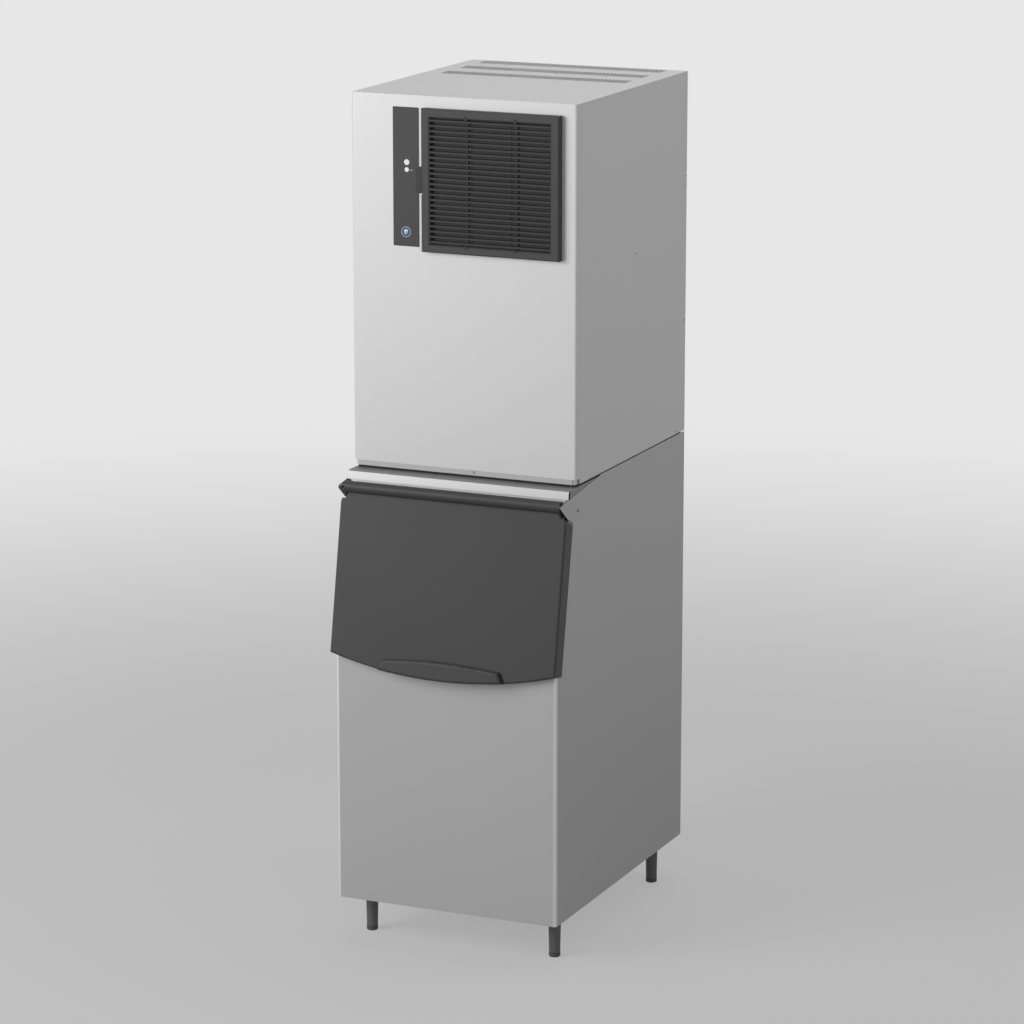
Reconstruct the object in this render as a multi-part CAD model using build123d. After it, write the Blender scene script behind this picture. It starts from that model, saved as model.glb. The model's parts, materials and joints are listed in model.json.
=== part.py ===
from build123d import *
import math
import os

# A cube ice machine: an ice-maker head on an insulated storage bin with a slanted flap
# door, on four levelling legs. Millimetres, z up from the floor, x from left to right.
# While it is built, y is 0 at the head's front face and grows to the back.

# Overall sizes
width = 560.0
head_depth = 666.0
head_height = 868.0
bin_height = 1021.0
bin_step = 109.0  # how far the bin's front stands before the head's front
leg_height = 105.0
sheet = 1.2  # steel sheet of all the panels
seat = 0.3  # gap round a piece that is seated in or beside another
tape_height = 6.0  # foam tape between head and bin

half = width / 2
inner = half - sheet
bin_front = -bin_step
head_z = leg_height + bin_height
head_top = head_z + head_height
deck_top = head_z - tape_height
back_inner = head_depth - sheet

# Door hinge and slanted mouth of the bin
slant = 10.4  # degrees from upright
bend_drop = 425.0  # from the head's underside down to where the front leans back
hinge_y = -66.0
hinge_drop = 38.0
roll_r = 13.5
pin_r = 4.0
pin_running = 0.05
door_room = 22.5  # from the mouth's plane out to the door's face
door_depth = 42.0
door_wall = 3.2
door_lap_play = 0.8  # between the bin's sides and the door's side walls
door_half = half + door_lap_play + door_wall
door_side_length = 387.5  # from the hinge to the lower corners
door_sag = 39.0  # how much lower the middle of the bottom edge hangs
side_wall = 45.0
mouth_half = half - side_wall
mouth_top = 46.0  # below the hinge, along the slant
mouth_bottom = 352.0
liner_wall = 2.5
mouth_play = 0.5  # between the door's seal and the mouth

hinge_z = head_z - hinge_drop
bend_z = head_z - bend_drop
slant_sin = math.sin(math.radians(slant))
slant_cos = math.cos(math.radians(slant))
mouth_at = (bin_front - hinge_y) * slant_cos + (hinge_z - bend_z) * slant_sin
door_face = mouth_at - door_room
fold_length = 20.0  # the wrapper's front edge follows the slant this far


def block(x0, x1, y0, y1, z0, z1):
    size = Box(x1 - x0, y1 - y0, z1 - z0)
    return Pos((x0 + x1) / 2, (y0 + y1) / 2, (z0 + z1) / 2) * size


def across(points, x0, x1):
    """A side profile of (y, z) points, carried from x0 to x1."""
    face = Plane.YZ.offset(x0) * make_face(Polyline(*points, close=True))
    return extrude(face, amount=x1 - x0)


def upright(outline, y0, y1):
    """A front view outline in (x, z), carried from y0 back to y1."""
    return extrude(Plane.XZ.offset(-y1) * outline, amount=y1 - y0)


def polygon(*points):
    return make_face(Polyline(*points, close=True))


def rod_x(r, x0, x1, y, z):
    return Pos((x0 + x1) / 2, y, z) * Rot(0, 90, 0) * Cylinder(r, x1 - x0)


def rod_y(r, y0, y1, x, z):
    return Pos(x, (y0 + y1) / 2, z) * Rot(90, 0, 0) * Cylinder(r, y1 - y0)


def rod_z(r, z0, z1, x, y):
    return Pos(x, y, (z0 + z1) / 2) * Cylinder(r, z1 - z0)


def mirrored(shape):
    return mirror(shape, Plane.YZ)


def upright_edges(shape, x, y):
    """The vertical edges of a shape that stand at (+-x, y)."""
    found = []
    for edge in shape.edges().filter_by(Axis.Z):
        middle = edge.center()
        if abs(abs(middle.X) - x) < 0.01 and abs(middle.Y - y) < 0.01:
            found.append(edge)
    return found


# Places on the slant: depth is measured inwards from the hinge axis, square to the
# mouth, and drop down along it.

slanted = Pos(0, hinge_y, hinge_z) * Rot(-slant, 0, 0)


def on_slant(depth, drop):
    y = hinge_y + depth * slant_cos - drop * slant_sin
    z = hinge_z - depth * slant_sin - drop * slant_cos
    return (y, z)


def mouth_y(z):
    """Where the mouth's plane lies at height z."""
    return bin_front + (z - bend_z) * slant_sin / slant_cos


bend_length = (hinge_z - bend_z) * slant_cos - (bin_front - hinge_y) * slant_sin
fold_drop = bend_length - fold_length

# Bin wrapper: front and both sides in one folded sheet
bin_corner_r = 9.0
far = 1200.0  # wider and deeper than the whole machine, for cutting planes
side_top = head_z - 3.0
deck_slope_y = 141.0  # the sides' top edge falls away before this
nose_root = (-29.0, head_z - 24.0)
nose_tip = (-92.0, head_z - 33.5)
nose_under = (-50.0, head_z - 67.0)
nose_notch = (-17.0, head_z - 84.0)  # the sides are cut back behind the door's shoulders
nose_tip_r = 4.0
nose_under_r = 12.0
nose_notch_r = 5.0
nose_end_z = head_z - 130.0


def rounded_plan(half_width, front, r, z0, z1):
    outline = block(-half_width, half_width, front, head_depth + 5, z0, z1)
    return fillet(upright_edges(outline, half_width, front), r)


def nose_outline():
    return [
        (head_depth, leg_height),
        (bin_front, leg_height),
        (bin_front, bend_z),
        (mouth_y(nose_end_z), nose_end_z),
        nose_notch,
        nose_under,
        nose_tip,
        nose_root,
        (deck_slope_y, side_top - 2),
        (deck_slope_y, side_top),
        (head_depth, side_top),
    ]


def make_bin_wrapper():
    face = Plane.YZ.offset(-half) * polygon(*nose_outline())
    tips = [v for v in face.vertices() if abs(v.Y - nose_tip[0]) < 0.01]
    face = fillet(tips, nose_tip_r)
    unders = [v for v in face.vertices() if abs(v.Z - nose_under[1]) < 0.01]
    face = fillet(unders, nose_under_r)
    notches = [v for v in face.vertices() if abs(v.Z - nose_notch[1]) < 0.01]
    face = fillet(notches, nose_notch_r)
    outer = extrude(face, amount=width)
    outer = outer & rounded_plan(half, bin_front, bin_corner_r, 0, head_top)
    lean = sheet / slant_cos
    fold_y, fold_z = on_slant(mouth_at, fold_drop)
    hollow = across(
        [
            (head_depth + 1, leg_height - 1),
            (head_depth + 1, head_z),
            (bin_front - 50, head_z),
            (bin_front - 50, fold_z),
            (fold_y + lean, fold_z),
            (bin_front + sheet, bend_z),
            (bin_front + sheet, leg_height - 1),
        ],
        -inner,
        inner,
    )
    hollow_plan = rounded_plan(inner, bin_front + sheet, bin_corner_r - sheet, 0, head_top)
    front_space = block(-inner, inner, -200, bin_front + 40, fold_z, head_z)
    screw_hole = rod_x(bracket_screw_r, -half - 1, half + 1, *bracket_screw)
    return outer - (hollow & hollow_plan) - front_space - screw_hole


# Hinge brackets behind the noses, with their pins and screws
bracket_thick = 6.5
bracket_screw = (10.0, head_z - 60.0)
bracket_screw_r = 2.5
screw_play = 0.15
bracket_margin = 2.0
bracket_tail_y = 24.0
tail_top = head_z - 46.0
tail_bottom = head_z - 98.0
bracket_out = inner
bracket_in = inner - bracket_thick
roll_play = 0.5  # between the roll's ends and the brackets
roll_half = bracket_in - roll_play
pin_depth = 12.0


def make_hinge_bracket(side):
    points = [
        (bracket_tail_y, tail_bottom),
        (mouth_y(tail_bottom) + bracket_margin, tail_bottom),
        (mouth_y(nose_under[1] - 9) + bracket_margin, nose_under[1] - 9),
        (nose_under[0] + 1, nose_under[1] + bracket_margin),
        (nose_tip[0] + 5, nose_tip[1] - 1),
        (nose_tip[0] + 12, nose_tip[1] + 1),
        (mouth_y(trim_low_z) - 1, trim_low_z - bracket_margin),
        (mouth_y(trim_low_z) + 2, tail_top),
        (bracket_tail_y, tail_top),
    ]
    plate = across(points, bracket_in, bracket_out)
    plate -= rod_x(pin_r + seat, bracket_in - 1, bracket_out + 1, hinge_y, hinge_z)
    plate -= rod_x(bracket_screw_r, bracket_in - 1, bracket_out + 1, *bracket_screw)
    return plate if side > 0 else mirrored(plate)


def make_hinge_pins():
    pin = rod_x(pin_r, roll_half - pin_depth + 0.5, bracket_out - seat, hinge_y, hinge_z)
    return pin + mirrored(pin)


def make_bin_screws():
    shank = rod_x(bracket_screw_r - screw_play, bracket_in, half, *bracket_screw)
    head = Pos(half + 1, *bracket_screw) * Rot(0, 90, 0) * Cone(4.5, 3.0, 2)
    screw = shank + head
    return screw + mirrored(screw)


# Deck and front trim
trim_half = inner - 1.5
trim_low_z = head_z - 26.0  # the wide part of the trim ends above the brackets
trim_end_z = head_z - 44.0
trim_thick = 1.5
trim_return = 14.0
trim_proud = 4.0  # the bright bar stands this far before its lower edge
drop_half = mouth_half - 45.0
drop_front = 50.0
drop_back = 275.0
top_insulation = 52.0
collar_play = seat
liner_top = head_z - 60.0
deck_plate_z = deck_top - sheet
deck_front_y = mouth_y(deck_top) + 1.0
flange_half = inner - seat


def make_top_deck():
    plate = block(-flange_half, flange_half, deck_front_y, back_inner - seat,
                  deck_plate_z, deck_top)
    web = across(
        [
            (deck_slope_y, deck_plate_z),
            (mouth_y(deck_plate_z) + 4, deck_plate_z),
            (mouth_y(trim_low_z) + 4, trim_low_z + 2),
        ],
        flange_half - sheet,
        flange_half,
    )
    plate = plate + web + mirrored(web)
    hole = block(-drop_half, drop_half, drop_front, drop_back, head_z - 100, head_z)
    sleeve = block(-drop_half - sheet, drop_half + sheet, drop_front - sheet,
                   drop_back + sheet, liner_top + liner_wall + seat, deck_top)
    return plate + sleeve - hole


def make_front_trim():
    back_y = trim_return
    top_z = deck_plate_z - seat
    profile = [
        (mouth_y(top_z) - trim_proud, top_z),
        (mouth_y(top_z) + back_y, top_z),
        (mouth_y(top_z) + back_y, top_z - trim_thick),
        (mouth_y(top_z - trim_thick) - trim_proud + trim_thick, top_z - trim_thick),
        (mouth_y(trim_low_z) - trim_proud + trim_thick, trim_low_z + trim_thick),
        (mouth_y(trim_low_z) + trim_thick, trim_low_z + trim_thick),
        (mouth_y(trim_end_z) + trim_thick, trim_end_z),
        (mouth_y(trim_end_z), trim_end_z),
        (mouth_y(trim_low_z), trim_low_z),
        (mouth_y(trim_low_z) - trim_proud, trim_low_z),
    ]
    bar = across(profile, -trim_half, trim_half)
    front_edges = [
        edge for edge in bar.edges().filter_by(Axis.X)
        if abs(edge.center().Z - top_z) < 0.01 and edge.center().Y < mouth_y(top_z) + 1
    ]
    bar = fillet(front_edges, trim_thick - 0.3)
    for side in (-1, 1):
        inside = side * (bracket_in - seat)
        outside = side * (half + 1)
        low = min(inside, outside)
        bar -= block(low, low + abs(outside - inside), -100, 40, trim_end_z - 1, trim_low_z)
    return bar


# Insulation and liner
back_wall = 45.0
floor_wall = 70.0
front_wall = 48.0
cavity_r = 20.0
lintel_back_y = 40.0
drain_x = 0.0
drain_r = 13.0
drain_wall = 2.5
flange_drop = 5.0

cavity_back = head_depth - back_wall
drain_y = cavity_back - 61.0
cavity_floor = leg_height + floor_wall
cavity_front = bin_front + front_wall
flange_low = fold_drop - seat


def cavity(grow, rounded=True):
    """The ice space and its mouth, grown by a wall or a gap."""
    low_y, low_z = on_slant(mouth_at, mouth_bottom)
    points = [
        (cavity_back, cavity_floor),
        (cavity_back, liner_top),
        (lintel_back_y, liner_top),
        on_slant(mouth_at, mouth_top),
        on_slant(mouth_at - 60, mouth_top),
        on_slant(mouth_at - 60, mouth_bottom),
        (low_y, low_z),
        (cavity_front, low_z - 25),
        (cavity_front, cavity_floor),
    ]
    wire = offset(Polyline(*points, close=True), grow, kind=Kind.INTERSECTION)
    face = Plane.YZ.offset(-mouth_half - grow) * make_face(wire)
    space = extrude(face, amount=2 * (mouth_half + grow))
    if not rounded:
        return space
    rims = []
    for edge in space.edges():
        middle = edge.center()
        if abs(abs(middle.X) - mouth_half - grow) < 0.01:
            rims.append(edge)
    return fillet(rims, cavity_r + grow)


def behind_slant(depth):
    """Everything behind the plane that lies this deep from the hinge."""
    return slanted * block(-far, far, depth, depth + 2 * far, -2 * far, far)


def drop_space(play):
    return block(-drop_half - play, drop_half + play, drop_front - play,
                 drop_back + play, liner_top - 40, head_z)


def make_bin_insulation():
    front = mouth_y(bend_z) + sheet
    rear = back_inner
    low = leg_height + sheet
    high = deck_plate_z - seat - trim_thick - seat
    foam = across(
        [(rear, low), (front, low), (front, bend_z), (mouth_y(high) + sheet, high),
         (rear, high)],
        -inner,
        inner,
    )
    foam &= rounded_plan(inner, front, bin_corner_r - sheet, 0, head_top)
    foam &= behind_slant(mouth_at + liner_wall + seat) + block(
        -inner, inner, -200, 800, 0, on_slant(mouth_at, fold_drop)[1] - 30)
    foam -= cavity(liner_wall + seat, rounded=False)
    foam -= drop_space(sheet + seat)
    for side in (-1, 1):
        x0 = side * (bracket_in - seat)
        x1 = side * (inner + 1)
        low_x = min(x0, x1)
        foam -= block(low_x, low_x + abs(x1 - x0), -100, bracket_tail_y + seat,
                      tail_bottom - seat, head_z)
        web_x = side * (flange_half - sheet - seat)
        low_x = min(web_x, x1)
        foam -= block(low_x, low_x + abs(x1 - web_x), -100, deck_slope_y + seat,
                      trim_low_z, head_z)
    foam -= rod_z(drain_r + drain_wall + seat, leg_height, cavity_floor, drain_x, drain_y)
    return foam


def make_bin_liner():
    shell = cavity(liner_wall) - cavity(0)
    shell &= behind_slant(mouth_at)
    flange = slanted * block(-bracket_in + seat, bracket_in - seat, mouth_at,
                             mouth_at + liner_wall, -flange_low, -flange_drop)
    liner = shell + (flange - cavity(0))
    liner -= drop_space(sheet + seat)
    liner -= rod_z(drain_r, cavity_floor - 10, cavity_floor + 10, drain_x, drain_y)
    return liner


def make_bin_back():
    return block(-inner + seat, inner - seat, back_inner, head_depth,
                 leg_height + sheet, deck_top - 1)


def make_bin_base():
    plate = block(-inner + seat, inner - seat, bin_front + sheet + seat, head_depth,
                  leg_height, leg_height + sheet)
    plate &= rounded_plan(inner - seat, bin_front + sheet + seat, bin_corner_r - sheet,
                          0, head_top)
    return plate - rod_z(drain_r + drain_wall + seat, 0, 200, drain_x, drain_y)


drain_tail = 28.0
drain_flange_r = 24.0


def make_bin_drain():
    """Drain tube through the floor, with a flange under the base."""
    r = drain_r + drain_wall
    tube = rod_z(r, leg_height - drain_tail, cavity_floor - liner_wall - seat, drain_x, drain_y)
    collar = rod_z(drain_flange_r, leg_height - 4, leg_height, drain_x, drain_y)
    return tube + collar - rod_z(drain_r, 0, cavity_floor, drain_x, drain_y)


# Door, drawn upright with its hinge at the origin and then leaned
neck_half = roll_half - 3.5
neck_top = 8.0
shoulder_top = 19.0
shoulder_mid = 27.5
shoulder_low = 36.0
shoulder_back = 43.5  # the side walls' top edge falls to here at the back
shoulder_r = 3.0
swing_play = 1.5  # between the door's shoulders and the noses as it swings
face_r = 5.0
corner_r = 9.0
skirt_back = mouth_at - 1.5
panel_thick = 9.0
plug_play = 13.0  # between the door's plug and the mouth's sides
plug_half = mouth_half - plug_play
plug_top = 66.0
plug_bottom = 336.0
plug_depth = 16.0
seal_wide = 14.0
seal_margin = 9.0
grip_half = 147.0
grip_flare = 11.0
grip_rise = 6.0  # the grip's top edge is this much higher in the middle
grip_crown = 8.0
grip_out = 12.0
grip_r = 7.0
pocket_half = 126.0
pocket_high = 28.0


def bottom_drop(x):
    """Length from the hinge to the bottom edge at x."""
    return door_side_length + door_sag * (1 - (x / door_half) ** 2)


def door_outline(inset):
    h = door_half - inset
    neck = neck_half - inset
    side_low = bottom_drop(h) - inset
    left = (-h, -side_low)
    right = (h, -side_low)
    arc = ThreePointArc(left, (0, -(bottom_drop(0) - inset)), right)
    middle = h - 2.5
    rest = Polyline(
        right,
        (h, -shoulder_low - inset),
        (middle, -shoulder_mid - inset),
        (neck, -shoulder_top - inset),
        (neck, -neck_top - inset),
        (-neck, -neck_top - inset),
        (-neck, -shoulder_top - inset),
        (-middle, -shoulder_mid - inset),
        (-h, -shoulder_low - inset),
        left,
    )
    outline = make_face([arc, rest])
    bends = [v for v in outline.vertices() if -shoulder_low - inset + 1 < v.Y < -neck_top - inset - 1]
    return fillet(bends, shoulder_r)


def grip_outline(inset):
    side = grip_half - inset
    top = door_side_length + 2.0 + inset
    low_x = grip_half + grip_flare - inset
    top_arc = ThreePointArc((-side, -top), (0, -(top - grip_crown)), (side, -top))
    low = bottom_drop(low_x)
    low_arc = ThreePointArc((-low_x, -low), (0, -bottom_drop(0)), (low_x, -low))
    left = Line((-low_x, -low), (-side, -top))
    right = Line((side, -top), (low_x, -low))
    return make_face([top_arc, right, low_arc, left])


def front_edges(shape, y):
    """The edges that lie in the plane at this y."""
    found = []
    for edge in shape.edges():
        box = edge.bounding_box()
        if abs(box.min.Y - y) < 0.01 and abs(box.max.Y - y) < 0.01:
            found.append(edge)
    return found


def shoulder_z(depth):
    """Height of the side walls' top edge at a depth."""
    fall = (shoulder_back - shoulder_mid) / door_depth
    return -shoulder_mid - (depth - door_face) * fall


def make_door_shell():
    back_y = door_face + door_depth
    body = upright(door_outline(0), door_face, back_y)
    rims = [e for e in front_edges(body, door_face) if e.center().Z < -shoulder_mid]
    body = fillet(rims, face_r)
    neck_cut = across(
        [
            (door_face + 9, 40),
            (back_y + 20, 40),
            (back_y + 20, shoulder_z(back_y + 20)),
            (door_face + 15, shoulder_z(door_face + 15)),
        ],
        -far,
        far,
    )
    shoulder_cut = across(
        [
            (door_face + 2, 40),
            (back_y + 20, 40),
            (back_y + 20, shoulder_z(back_y + 20)),
            (door_face + 2, shoulder_z(door_face + 2)),
        ],
        neck_half + 2,
        far,
    )
    swing_r = math.dist(nose_tip, (hinge_y, hinge_z)) + swing_play
    shoulder_cut += rod_x(swing_r, neck_half + 2, far, 0, 0)
    shoulder_cut += mirrored(shoulder_cut)
    side_room = block(-door_half + door_wall, door_half - door_wall, door_face + 15,
                      back_y + 1, -shoulder_low - 10, 40)
    grip = upright(grip_outline(0), door_face - grip_out, door_face + 1)
    grip = fillet(front_edges(grip, door_face - grip_out), grip_r)
    hollow = upright(door_outline(door_wall), door_face + door_wall, back_y + 1)
    skirt = block(-door_half + door_wall, door_half - door_wall, skirt_back, back_y + 1,
                  -far, -door_side_length + 20)
    pocket_top = bottom_drop(pocket_half) - pocket_high
    pocket = block(-pocket_half, pocket_half, door_face - grip_out + door_wall,
                   skirt_back - door_wall, -far, -pocket_top)
    shell = body + grip - hollow - side_room - neck_cut - shoulder_cut - skirt - pocket
    shell += rod_x(roll_r, -roll_half, roll_half, 0, 0)
    for side in (-1, 1):
        end = side * (roll_half + 1)
        start = side * (roll_half - pin_depth)
        shell -= rod_x(pin_r + pin_running, min(start, end), max(start, end), 0, 0)
    return slanted * shell


panel_y = door_face + door_wall
seal_y = panel_y + panel_thick


def make_door_panel():
    top = shoulder_low + 4
    low = door_side_length - 8
    wide = door_half - door_wall - 0.5
    panel = block(-wide, wide, panel_y, seal_y, -low, -shoulder_low - 8)
    neck = neck_half - door_wall - 1
    panel += block(-neck, neck, panel_y, seal_y, -shoulder_low - 9, -shoulder_top - 8)
    plug = block(-plug_half, plug_half, seal_y - 1, seal_y + plug_depth,
                 -plug_bottom, -plug_top)
    rims = front_edges(plug, seal_y + plug_depth)
    plug = fillet(rims, 8)
    return slanted * (panel + plug)


def make_door_seal():
    inside = mouth_half + seal_margin
    outside = inside + seal_wide
    y1 = mouth_at - mouth_play
    top = mouth_top - seal_margin
    low = mouth_bottom + seal_margin
    wide = mouth_half - plug_half
    ring = block(-outside, outside, seal_y, y1, -low - seal_wide / 2, -top + seal_wide)
    ring -= block(-inside, inside, seal_y - 1, y1 + 1, -low + wide / 2, -top)
    return slanted * ring


# Legs and levelling feet
leg_inset = 44.0
leg_x = half - leg_inset
leg_front_y = -15.0
leg_rear_y = head_depth - 80.0
plate_r = 27.0
plate_high = 6.0
leg_top_r = 15.0
leg_low_r = 13.2
foot_r = 13.6
foot_high = 12.0
stem_r = 5.0
stem_running = 0.05
stem_high = 40.0
foot_travel = 20.0
leg_places = {
    "front_left": (-leg_x, leg_front_y),
    "front_right": (leg_x, leg_front_y),
    "rear_left": (-leg_x, leg_rear_y),
    "rear_right": (leg_x, leg_rear_y),
}


def make_leg(x, y):
    high = leg_height - plate_high
    tube = Pos(x, y, (high + foot_high) / 2) * Cone(leg_low_r, leg_top_r, high - foot_high)
    return tube - rod_z(stem_r + stem_running, 0, foot_high + stem_high + 8, x, y)


def make_foot(x, y):
    pad = rod_z(foot_r, 0, foot_high, x, y)
    pad = chamfer(pad.edges().group_by(Axis.Z)[0], 2)
    return pad + rod_z(stem_r, foot_high - 1, foot_high + stem_high, x, y)


def make_leg_plates():
    plates = []
    for x, y in leg_places.values():
        disc = rod_z(plate_r, leg_height - plate_high, leg_height, x, y)
        plates.append(chamfer(disc.edges().group_by(Axis.Z)[0], 4))
    return Part() + plates


# Head casing
base_inset = 10.0
base_half = half - base_inset
base_front = 1.5
front_lift = 12.0  # the front panel ends this far above the head's underside
return_y = 20.0  # depth of the front panel's side returns
side_seam = 0.6
head_corner_r = 6.0
base_rim = 30.0
lid_flange = 12.0
rear_return = 15.0
side_front = return_y + side_seam
corner_foot_front = 4.0  # small corner feet below the front panel's returns
corner_foot_inset = 4.0
corner_foot_r = 3.0

panel_low = head_z + front_lift
panel_high = head_top - sheet

# Louvre grille
louvre_left = -98.0
louvre_right = half - 37.0
louvre_tall = 327.8
louvre_high = head_top - 26.7
louvre_low = louvre_high - louvre_tall
louvre_out = 17.0
louvre_bevel = 3.0
border = 22.0
border_low = 18.5
slat_count = 24
slat_nose = 4.4
slat_tail = 2.0
slat_deep = 8.0
slat_drop = 2.2
rib_wide = 3.0
clip_wide = 7.0
clip_high = 6.0
clip_deep = 4.0
open_left = louvre_left + border
open_right = louvre_right - border
open_low = louvre_low + border_low
open_high = louvre_high - border_low - 1.8
rib_x = (open_left + 90.0, open_right - 85.0)

# Air filter, slides out to the left behind the slats
filter_groove = 5.0
filter_play = 0.3
filter_front = -6.0
filter_back = -2.0
filter_border = 8.0
filter_mesh = 0.8
tab_left = louvre_left - 13.0
tab_tall = 60.0
tab_low = louvre_low + 133.5
tab_high = tab_low + tab_tall
tab_front = -13.0
tab_notch = 5.0

# Control strip
strip_left = -175.0
strip_right = -110.5
strip_tall = 318.8
strip_high = head_top - 27.5
strip_low = strip_high - strip_tall
strip_out = 1.0
strip_r = 2.0
button_x = -140.5
upper_button_r = 6.5
lower_button_r = 5.3
button_pitch = 17.0
upper_button_z = strip_low + 193.1
buttons = {
    "upper": (upper_button_z, upper_button_r),
    "lower": (upper_button_z - button_pitch, lower_button_r),
}
button_play = 0.25
button_out = 0.4
button_travel = 1.5
button_rear = 6.0
board_y = button_rear + button_travel + 0.5
board_thick = 1.6
board_left = -166.0
board_right = -119.0
board_tall = 160.0
board_low = strip_low + 78.3
board_high = board_low + board_tall
lens_x = -160.3
lens_pitch = 10.3
lens_z = (upper_button_z - 0.5, upper_button_z - 0.5 - lens_pitch)
lens_r = 1.8
post_r = 2.5


def make_front_panel():
    shell = block(-half, half, 0, return_y, panel_low, panel_high)
    shell = fillet(upright_edges(shell, half, 0), head_corner_r)
    hollow = block(-inner, inner, sheet, return_y + 1, panel_low - 1, panel_high - sheet)
    hollow = fillet(upright_edges(hollow, inner, sheet), head_corner_r - sheet)
    window = block(open_left - 6, open_right + 6, -1, sheet + 1, open_low - 6, open_high + 6)
    hatch = block(board_left - 1, board_right + 1, -1, sheet + 1, board_low - 1, board_high + 1)
    return shell - hollow - window - hatch


# Top panel with three rows of air slots
vent_rows = (head_depth - 249.0, head_depth - 140.0, head_depth - 33.0)
vent_deep = 52.0
vent_half = half - 41.0
vent_pitch = 10.0
vent_slot = 6.0


def make_top_panel():
    lid = block(-half, half, 0, head_depth, panel_high, head_top)
    lid = fillet(upright_edges(lid, half, 0), head_corner_r)
    fit = inner - seat
    rim = block(-fit, fit, return_y + seat, back_inner - 2 * sheet, panel_high - lid_flange,
                panel_high)
    rim -= block(-fit + sheet, fit - sheet, return_y + seat + sheet,
                 back_inner - 3 * sheet, panel_high - lid_flange - 1, panel_high + 1)
    lid -= lid_screw_head(screw_play)
    count = int(2 * vent_half / vent_pitch)
    slots = []
    for row in vent_rows:
        for i in range(count):
            x = -vent_half + (i + 0.5) * vent_pitch
            slots.append(block(x - vent_slot / 2, x + vent_slot / 2, row - vent_deep / 2,
                               row + vent_deep / 2, panel_high - 1, head_top + 1))
    return lid + rim - slots


def make_side_panel(side):
    plate = block(inner, half, side_front, head_depth, head_z, panel_high)
    flange = block(half - rear_return, half, back_inner, head_depth, head_z, panel_high)
    foot = block(half - 8, half, side_front, head_depth, head_z, head_z + sheet)
    corner = block(base_half + seat, half - corner_foot_inset, corner_foot_front,
                   side_front - seat, head_z, panel_low - seat)
    corner = fillet(upright_edges(corner, half - corner_foot_inset, corner_foot_front),
                    corner_foot_r)
    link = block(half - 8, half - corner_foot_inset, side_front - 2, side_front + 1,
                 head_z, head_z + sheet)
    panel = plate + flange + foot + corner + link
    for y, z in side_screws:
        panel -= rod_x(case_screw_r, inner - 1, half + 1, y, z)
    return panel if side > 0 else mirrored(panel)


# Rear of the head
rear_slots = 8
rear_slot_half = 150.0
rear_slot_high = 8.0
rear_slot_pitch = 22.0
rear_slot_z = head_top - 228.0
inlet_x = half - 90.0
inlet_z = head_top - 448.0
inlet_r = 13.2
inlet_neck_r = 11.0
inlet_long = 20.0
outlet_x = half - 130.0
outlet_z = head_z + 38.0
outlet_r = 12.0
outlet_bore = 9.5
outlet_long = 25.0
spigot_flange = 3.0
spigot_margin = 4.0
gland_x = -half + 80.0
gland_z = head_top - 268.0
gland_r = 11.0
gland_bore = 5.0
gland_long = 18.0
hex_r = 15.0


def make_rear_panel():
    fit = inner - seat
    plate = block(-fit, fit, back_inner - sheet, back_inner, head_z + sheet + seat,
                  panel_high - lid_flange - 1)
    for i in range(rear_slots):
        z = rear_slot_z + i * rear_slot_pitch
        plate -= block(-rear_slot_half, rear_slot_half, back_inner - 5, head_depth,
                       z, z + rear_slot_high)
    plate -= rod_y(inlet_neck_r + seat, back_inner - 5, head_depth, inlet_x, inlet_z)
    plate -= rod_y(outlet_r + seat, back_inner - 5, head_depth, outlet_x, outlet_z)
    plate -= rod_y(gland_r - 2 + seat, back_inner - 5, head_depth, gland_x, gland_z)
    return plate


def make_cable_gland():
    body = rod_y(gland_r - 2, back_inner - sheet - 8, back_inner, gland_x, gland_z)
    nut = rod_y(hex_r, back_inner, back_inner + 6, gland_x, gland_z)
    dome = Pos(gland_x, back_inner + 6 + gland_long / 2, gland_z) * Rot(-90, 0, 0) * Cone(
        gland_r, gland_r - 3, gland_long)
    bore = rod_y(gland_bore, back_inner - 20, back_inner + 40, gland_x, gland_z)
    return body + nut + dome - bore


def make_head_base():
    fit = inner - seat
    outer = block(-base_half, base_half, base_front, side_front, head_z, head_z + base_rim)
    outer += block(-fit, fit, side_front, back_inner - sheet - seat, head_z + sheet + seat,
                   head_z + base_rim)
    floor = head_z + 2 * sheet + seat
    hollow = block(-base_half + sheet, base_half - sheet, base_front + sheet, side_front + 1,
                   floor, head_z + 50)
    hollow += block(-fit + sheet, fit - sheet, side_front, back_inner - 2 * sheet - seat,
                    floor, head_z + 50)
    pan = outer - hollow
    collar = block(-drop_half - sheet, drop_half + sheet, drop_front - sheet,
                   drop_back + sheet, head_z + sheet + seat, head_z + base_rim)
    pan = pan + collar
    pan -= block(-drop_half, drop_half, drop_front, drop_back, head_z - 1, head_z + 50)
    pan -= rod_x(case_screw_r, -half, half, *side_screws[1])
    pan -= rod_y(outlet_r + seat, drain_pan_back, head_depth, outlet_x, outlet_z)
    return pan - rod_y(case_screw_r, base_front - 1, base_front + 3, *front_screw)


def make_head_tape():
    outer = block(-base_half - 2, base_half + 2, 6, head_depth - 8, deck_top, head_z)
    hole = block(-drop_half - 8, drop_half + 8, drop_front - 8, drop_back + 8,
                 deck_top - 1, head_z + 1)
    middle = block(-base_half + 14, base_half - 14, drop_back + 22, head_depth - 24,
                   deck_top - 1, head_z + 1)
    return outer - hole - middle


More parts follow.
